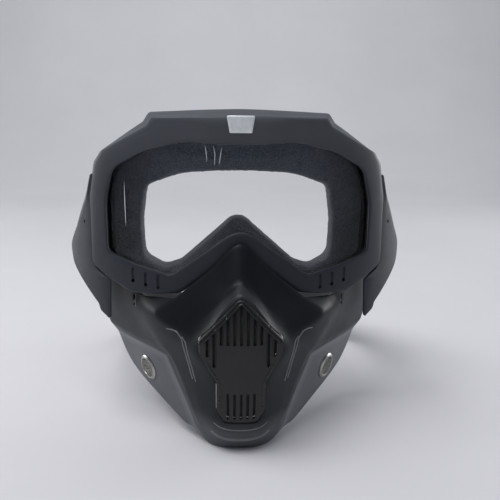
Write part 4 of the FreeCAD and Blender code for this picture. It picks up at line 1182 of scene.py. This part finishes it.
# Lines of the grid that stay crisp: a row or column, the stretch of it, and how sharp.
CRISP_ROWS = [(1, 0, 2, 0.55), (1, 3, 4, 0.9), (2, 0, 2, 0.6), (2, 3, 8, 0.72), (3, 5, 8, 0.7),
              (6, 0, 8, 0.3), (7, 0, 8, 0.55)]
CRISP_COLUMNS = [(3, 1, 6, 0.85), (4, 2, 6, 0.7), (5, 3, 6, 0.7), (8, 0, 7, 0.6), (2, 1, 2, 0.3)]


def mask_surface():
    """The mask's outer skin as a subdivided cage whose surface passes through the grid's points."""
    half = [[Vector(p) for p in row] for row in mask_grid()]
    grid = [[Vector((-p.x, p.y, p.z)) for p in reversed(row[1:])] + row for row in half]
    rows, columns, middle = len(grid), len(grid[0]), len(half[0]) - 1
    faces = []
    for r in range(rows - 1):
        for c in range(columns - 1):
            a, b = r * columns + c, (r + 1) * columns + c
            if (r, abs(c + 0.5 - middle)) == (0, 3.5):
                corner = b + 1 if c >= middle else a + 1
                faces += [(a, b, corner), (a if c >= middle else b, b + 1, a + 1)]
            else:
                faces.append((a, b, b + 1, a + 1))
    obj = new_object("mask_skin", ([p for row in grid for p in row], faces))
    crisp = {}

    def crease(side, start, end, share):
        ends = [row * columns + middle + side * column for row, column in (start, end)]
        crisp[frozenset(ends)] = share

    for side in (1, -1):
        for r, start, stop, share in CRISP_ROWS:
            for c in range(start, stop):
                crease(side, (r, c), (r, c + 1), share)
        for c, start, stop, share in CRISP_COLUMNS:
            for r in range(start, stop):
                crease(side, (r, c), (r + 1, c), share)
        crease(side, (0, 3), (1, 4), 0.95)
    creases = obj.data.attributes.new("crease_edge", "FLOAT", "EDGE")
    for edge in obj.data.edges:
        creases.data[edge.index].value = crisp.get(frozenset(edge.vertices), 0.0)
    target = [v.co.copy() for v in obj.data.vertices]
    modifier(obj, "SUBSURF", levels=2, render_levels=2, boundary_smooth="PRESERVE_CORNERS")
    for _ in range(4):
        shown = obj.evaluated_get(bpy.context.evaluated_depsgraph_get()).data
        shift = [target[i] - shown.vertices[i].co for i in range(len(target))]
        for vertex, step in zip(obj.data.vertices, shift):
            vertex.co += step * 0.8
        obj.data.update()
    obj.modifiers[0].levels = 3
    return settle(obj)


def make_mask_shell(materials):
    """The moulded shell: skin, wall, the grille's opening, the cheek vents' holes and the arms' slits."""
    obj = mask_surface()
    skin = BVHTree.FromObject(obj, bpy.context.evaluated_depsgraph_get())
    modifier(obj, "SOLIDIFY", thickness=MASK_WALL * MM, offset=-1, use_even_offset=False, use_rim=True)
    settle(obj)
    soften(obj, 0.5, 2, 55)
    tools = [prism_part(dense(grown(mirrored(SHIELD), 0.2)), *SHELL_CUT)]
    slit_x, slit_top, slit_foot, slit_half = ARM_SLIT
    for side in (1, -1):
        normal = Vector((side * CHEEK_NORMAL.x, CHEEK_NORMAL.y, CHEEK_NORMAL.z))
        centre = Vector((side * CHEEK_POINT.x, CHEEK_POINT.y, CHEEK_POINT.z))
        drill = lathe_part([(0, -10), (RING_BORE + 1, -10), (RING_BORE + 1, 10), (0, 10)], 48)
        tools.append(moved(drill, facing(centre, normal)))
        tools.append(capsule_part(side * slit_x, slit_top, slit_foot, slit_half, *SLIT_CUT))
    cut(obj, merged(*tools))
    finish_piece(obj, "mask", materials["mask"], ["mask_shell"], sharp=42)
    return skin


def grille_side():
    """The left side of the grille's outline, from the top down to its foot."""
    path = half_path(SHIELD)
    return path[:next(i for i in range(len(path)) if path[i].y < GRILLE_FOOT)]


def make_grille(materials):
    """The slotted insert."""
    rows, columns = 96, 34
    side = grille_side()
    grids = []
    for proud in (-0.05, -GRILLE_THICK):
        grid = []
        for i in range(rows + 1):
            z = GRILLE_TOP + (GRILLE_FOOT - GRILLE_TOP) * i / rows
            width = at_height(side, z).x - 0.1
            line = [Vector((width * (2 * j / columns - 1), 0, z)) for j in range(columns + 1)]
            grid.append([Vector((p.x, beak_y(p.x, p.z, proud), p.z)) for p in line])
        grids.append(grid)
    sections = [front + list(reversed(back)) for front, back in zip(*grids)]
    obj = new_object("grille_plate", loft(sections, ring=False))
    slots = [(i * GRILLE_PITCH, SLOT_TOPS[abs(i)], SLOT_FOOT) for i in range(-3, 4)]
    slots += [(s * x, a, b) for x, a, b in OUTER_SLOTS for s in (1, -1)]
    tools = [capsule_part(x, a, b, GRILLE_SLOT / 2, *GRILLE_CUT) for x, a, b in slots]
    places = [i * GRILLE_PITCH for i in range(-2, 3)]
    tools += [capsule_part(x, *LOWER_SLOTS, LOWER_SLOT_HALF, *GRILLE_CUT) for x in places]
    cut(obj, merged(*tools))
    soften(obj, 0.22, 2, 50)
    finish_piece(obj, "mask", materials["grille"], ["grille_insert"], sharp=50)
    make_slot_rims(materials, slots)
    make_border(materials)
    make_channels(materials, side)


def make_slot_rims(materials, slots):
    """A fine raised line round each of the upper slots."""
    profile = ((-0.26, -0.1), (-0.16, 0.16), (0.0, 0.24), (0.16, 0.16), (0.26, -0.1))
    half = GRILLE_SLOT / 2 + 0.15
    arc = [(half * math.cos(math.pi * k / 8), half * math.sin(math.pi * k / 8)) for k in range(9)]
    rims = []
    for x, high, low in slots:
        drop = (high - low) / 14
        line = [(x + u, high - GRILLE_SLOT / 2 + v) for u, v in arc]
        line += [(x - half, high - drop * (k + 1)) for k in range(12)]
        line += [(x - u, low + GRILLE_SLOT / 2 - v) for u, v in arc]
        line += [(x + half, low + drop * (k + 1)) for k in range(12)]
        line = [Vector(p) for p in line]
        sections = []
        for p, way in zip(line, ways(line, closed=True)):
            side_way = Vector((way.y, -way.x))
            ring = [(p + side_way * off, proud) for off, proud in profile]
            sections.append([Vector((q.x, beak_y(q.x, q.y, proud), q.y)) for q, proud in ring])
        rims.append(loft(sections))
    finish_piece(new_object("grille_slot_rims", merged(*rims)), "mask", materials["grille"], sharp=80)


def make_border(materials):
    """The raised double line over the grille, with two shallow notches on each side."""
    stretch = [p for p in half_path(SHIELD) if p.y > GRILLE_SHOULDER]
    reach = travelled(stretch)
    number = 90
    half = [point_at(stretch, reach, reach[-1] * k / number) for k in range(number + 1)]
    spine = [Vector((-p.x, p.y)) for p in reversed(half[1:])] + half
    notches, notch_width, notch_depth = (0.36, 0.62), 0.012, 0.75
    profile = [(0.0, -0.6), (0.05, 0.3), (0.25, 0.75), (0.6, 0.95), (0.95, 0.85), (1.2, 0.35), (1.5, 0.22),
               (1.8, 0.35), (2.05, 0.85), (2.4, 0.95), (2.75, 0.75), (2.95, 0.3), (3.0, -0.6)]
    sections = []
    for i, (p, way) in enumerate(zip(spine, ways(spine))):
        inward = Vector((way.y, -way.x))
        share = abs(i - number) / number
        dip = max(math.exp(-((share - n) / notch_width) ** 2) for n in notches)
        ring = []
        for off, proud in profile:
            q = p + inward * off
            raised = proud * (1 - notch_depth * dip) if proud > 0 else proud
            ring.append(Vector((q.x, beak_y(q.x, q.y, raised), q.y)))
        sections.append(ring)
    border = new_object("grille_border", loft(sections, ring=False))
    finish_piece(border, "mask", materials["grille"], ["grille_bezel"], sharp=60)


def make_channels(materials, side):
    """The rough strips down the grille's legs."""
    top, length, steps, half = -66.5, 26.0, 110, 1.0
    channels = []
    for s in (1, -1):
        sections = []
        for k in range(steps + 1):
            z = top - length * k / steps
            x = at_height(side, z).x - 1.7
            ring = []
            for j in range(9):
                off = half * (j / 4 - 1)
                bump = 0.25 + 0.45 * noise.noise(Vector((off * 1.3, z * 0.9, s * 7.0)))
                fade = math.sin(math.pi * j / 8) ** 0.5
                ring.append(Vector((s * (x + off), beak_y(x + off, z, bump * fade - 0.1), z)))
            sections.append(ring)
        channels.append(loft(sections, ring=False))
    finish_piece(new_object("grille_leg_texture", merged(*channels)), "mask", materials["grille"], sharp=80)


def bead(skin, route, width, height, step=0.7):
    """A thin raised line on the mask's skin along a route of (x, z) points, seen from the front."""
    path = [Vector(p) for p in route]
    reach = travelled(path)
    count = max(6, int(reach[-1] / step))
    points = [point_at(path, reach, reach[-1] * k / count) for k in range(count + 1)]
    sections = []
    for i, (p, way) in enumerate(zip(points, ways(points))):
        across_way = Vector((way.y, -way.x))
        taper = min(1.0, 0.15 + min(i, count - i) / 6)
        ring = []
        for share, lift in ((-1, -0.3), (-0.7, 0.4), (-0.3, 0.9), (0.3, 0.9), (0.7, 0.4), (1, -0.3)):
            q = p + across_way * share * width / 2
            spot, normal, *_ = skin.ray_cast(Vector((q.x, -200, q.y)) * MM, Vector((0, 1, 0)))
            ring.append(spot / MM + normal * (lift * height * taper if lift > 0 else lift))
        sections.append(ring)
    return loft(sections, ring=False)


# The mask's raised lines on the left half: a route of x, z, then width and height.
MASK_LINES = [
    ([(40.6, -55.2), (37.5, -54.6), (34.6, -55.1), (31.9, -58.6), (30.9, -63.0), (28.3, -72.5),
      (26.2, -81.5)], 0.75, 0.45),
    ([(31.8, -57.4), (29.6, -60.4), (28.6, -66.0), (26.3, -74.5), (24.4, -82.5)], 0.75, 0.4),
    ([(60.3, -42.8), (60.3, -49.8)], 0.6, 0.35),
]


def chin_curve(half, height, drop, start, step, count):
    """A shallow curve over the chin; start and step are degrees."""
    turns = [math.radians(start + step * k) for k in range(count)]
    return [(half * math.sin(a), height - drop * math.cos(a)) for a in turns]


def make_beads(materials, skin):
    """The fine raised lines beside the crease and the arms' slits, and the two curves over the chin; their
    pale colour is a painted highlight.
    """
    parts = [bead(skin, [(s * x, z) for x, z in route], width, height)
             for s in (1, -1) for route, width, height in MASK_LINES]
    parts.append(bead(skin, chin_curve(15, -103.0, 4.2, -78, 12, 14), 0.8, 0.4))
    parts.append(bead(skin, chin_curve(16.5, -109.6, 5.2, -75, 10, 16), 2.4, 0.9))
    finish_piece(new_object("mask_beads", merged(*parts)), "mask", materials["bead"], sharp=80)


def make_cheek_vents(materials):
    """Rolled metal eyelets with a disc of woven wire."""
    depth = MASK_WALL + 1.2
    inner = RING_BORE + 1.3
    profile = [(RING_BORE, -depth), (RING_BORE, 0.1), (inner - 0.1, 0.12), (inner, 0.5), (inner + 0.2, 1.0),
               (inner + 0.6, RING_FLANGE), (RING_RADIUS - 1.1, 1.05), (RING_RADIUS - 0.4, 0.65),
               (RING_RADIUS, 0.25), (RING_RADIUS - 0.1, 0.02), (RING_BORE + 1.0, 0.02),
               (RING_BORE + 0.9, -depth)]
    ring = moved(lathe_part(profile, 64), facing(CHEEK_POINT, CHEEK_NORMAL))
    wires = []
    reach = inner + 0.05
    number = int(reach / WIRE_PITCH)
    for turned in (False, True):
        for i in range(-number, number + 1):
            off = i * WIRE_PITCH
            span = math.sqrt(reach * reach - off * off)
            steps = max(4, int(span / 0.24))
            points = []
            for k in range(steps + 1):
                u = -span + 2 * span * k / steps
                phase = math.cos(math.pi * u / WIRE_PITCH) * (1 if (i % 2 == 0) != turned else -1)
                lift = WIRE_LIFT + WIRE_WAVE * phase
                points.append(Vector((off, u, lift)) if turned else Vector((u, off, lift)))
            wires.append(thread_part(points, WIRE_RADIUS, 6))
    cloth = moved(merged(*wires), facing(CHEEK_POINT, CHEEK_NORMAL))
    for name, turned_over in (("left", lambda part: part), ("right", flipped)):
        obj = new_object("eyelet_" + name, turned_over(ring))
        finish_piece(obj, "mask", materials["eyelet"], ["cheek_ring_" + name])
        obj = new_object("wire_mesh_" + name, turned_over(cloth))
        finish_piece(obj, "mask", materials["mesh"], ["cheek_mesh_" + name], sharp=80)


# The stage

def make_stage():
    """A pale floor that turns up into a wall far behind."""
    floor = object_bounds()[0][2] - 0.00005
    profile = [(FLOOR_FRONT, 0.0), (FLOOR_BACK, 0.0)]
    turns = [math.pi / 2 * k / 16 for k in range(1, 17)]
    profile += [(FLOOR_BACK + SWEEP * math.sin(a), SWEEP - SWEEP * math.cos(a)) for a in turns]
    profile += [(FLOOR_BACK + SWEEP, WALL_HEIGHT)]
    sections = [[Vector((x, y, z + floor)) / MM for y, z in profile] for x in (-FLOOR_HALF, FLOOR_HALF)]
    obj = new_object("floor", loft(sections, ring=False, shut=False))
    material, tree, shader, place = new_material("floor_paper", "floor", Roughness=0.75)
    shader.inputs["Specular IOR Level"].default_value = 0.2
    mottle = grain(tree, place, 3.0, 4.0)
    tree.links.new(ramp(tree, mottle, (0.2, PAPER_DARK), (0.8, PAPER_BRIGHT)), shader.inputs["Base Color"])
    obj.data.shade_smooth()
    obj.data.materials.append(material)


def area_light(name, place, target, size, power, spread):
    """A rectangular light that points at a target."""
    light = bpy.data.lights.new(name, "AREA")
    light.shape = "RECTANGLE"
    light.size, light.size_y = size
    light.energy = power
    light.spread = math.radians(spread)
    obj = bpy.data.objects.new(name, light)
    bpy.context.scene.collection.objects.link(obj)
    obj.location = place
    obj.rotation_euler = (Vector(target) - Vector(place)).to_track_quat("-Z", "Y").to_euler()


def make_lights():
    """A soft room, darker behind the camera, with a broad light from the upper left."""
    world = bpy.data.worlds.new("room")
    bpy.context.scene.world = world
    world.use_nodes = True
    tree = world.node_tree
    background = next(n for n in tree.nodes if n.type == "BACKGROUND")
    way = node(tree, "TexCoord").outputs["Generated"]
    split = node(tree, "SeparateXYZ", {"Vector": way})
    rearward = fitted(tree, split.outputs["Y"], 0.0, 1.0, 0.15, 0.6)
    upward = fitted(tree, split.outputs["Z"], 0.0, 0.55, 0.3, 0.95)
    share = combined(tree, "MAXIMUM", rearward, upward)
    tree.links.new(ramp(tree, share, (0.0, ROOM_DARK), (1.0, ROOM_BRIGHT)), background.inputs["Color"])
    background.inputs["Strength"].default_value = 1.0
    for light in LIGHTS:
        area_light(*light)
    bpy.context.scene.view_settings.view_transform = "Standard"


def make_camera():
    """A long lens in front, a little above and to the wearer's right of the middle."""
    azimuth, elevation, roll = (math.radians(angle) for angle in (CAMERA_TURN, CAMERA_RISE, CAMERA_ROLL))
    back = Vector((math.sin(azimuth) * math.cos(elevation), -math.cos(azimuth) * math.cos(elevation),
                   math.sin(elevation)))
    flat = Vector((math.cos(azimuth), math.sin(azimuth), 0))
    up = flat.cross(-back)
    side = flat * math.cos(roll) + up * math.sin(roll)
    top = -flat * math.sin(roll) + up * math.cos(roll)
    lens = bpy.data.cameras.new("camera")
    lens.sensor_width = CAMERA_SENSOR
    lens.lens = CAMERA_LENS
    lens.clip_start = 0.01
    obj = bpy.data.objects.new("camera", lens)
    bpy.context.scene.collection.objects.link(obj)
    matrix = Matrix((side, top, back)).transposed().to_4x4()
    matrix.translation = Vector(CAMERA_PLACE)
    obj.matrix_world = matrix
    bpy.context.scene.camera = obj


def main():
    """Make every piece, then the stage, the lights and the camera."""
    materials = make_materials()
    make_front_frame(materials)
    pair("outrigger", wing_part(), "goggles", materials["frame"], "wing")
    make_lens(materials)
    make_foams(materials)
    make_badge(materials)
    make_studs(materials)
    softened_copy("tunnel_rear", "rear_frame", "goggles", materials["tunnel"], 0.35)
    for name in ("left", "right"):
        softened_copy("hook_blade_" + name, "frame_hook_" + name, "goggles", materials["frame"], 0.3)
        foam_copy("lobe_foam_" + name, "vent_foam_" + name, "goggles", materials["vent_foam"], 0.5)
    foam_copy("brow_foam", "vent_foam_top", "goggles", materials["vent_foam"], 0.6)
    make_clips(materials)
    make_webbing(materials)
    make_grips(materials)
    make_adjusters(materials)
    skin = make_mask_shell(materials)
    make_beads(materials, skin)
    make_grille(materials)
    foam_copy("filter_felt_pad", "filter_pad", "mask", materials["felt"])
    softened_copy("filter_lid", "filter_cover", "filter_cover", materials["buckle"], 0.3)
    make_cheek_vents(materials)
    make_stage()
    make_lights()
    make_camera()


main()
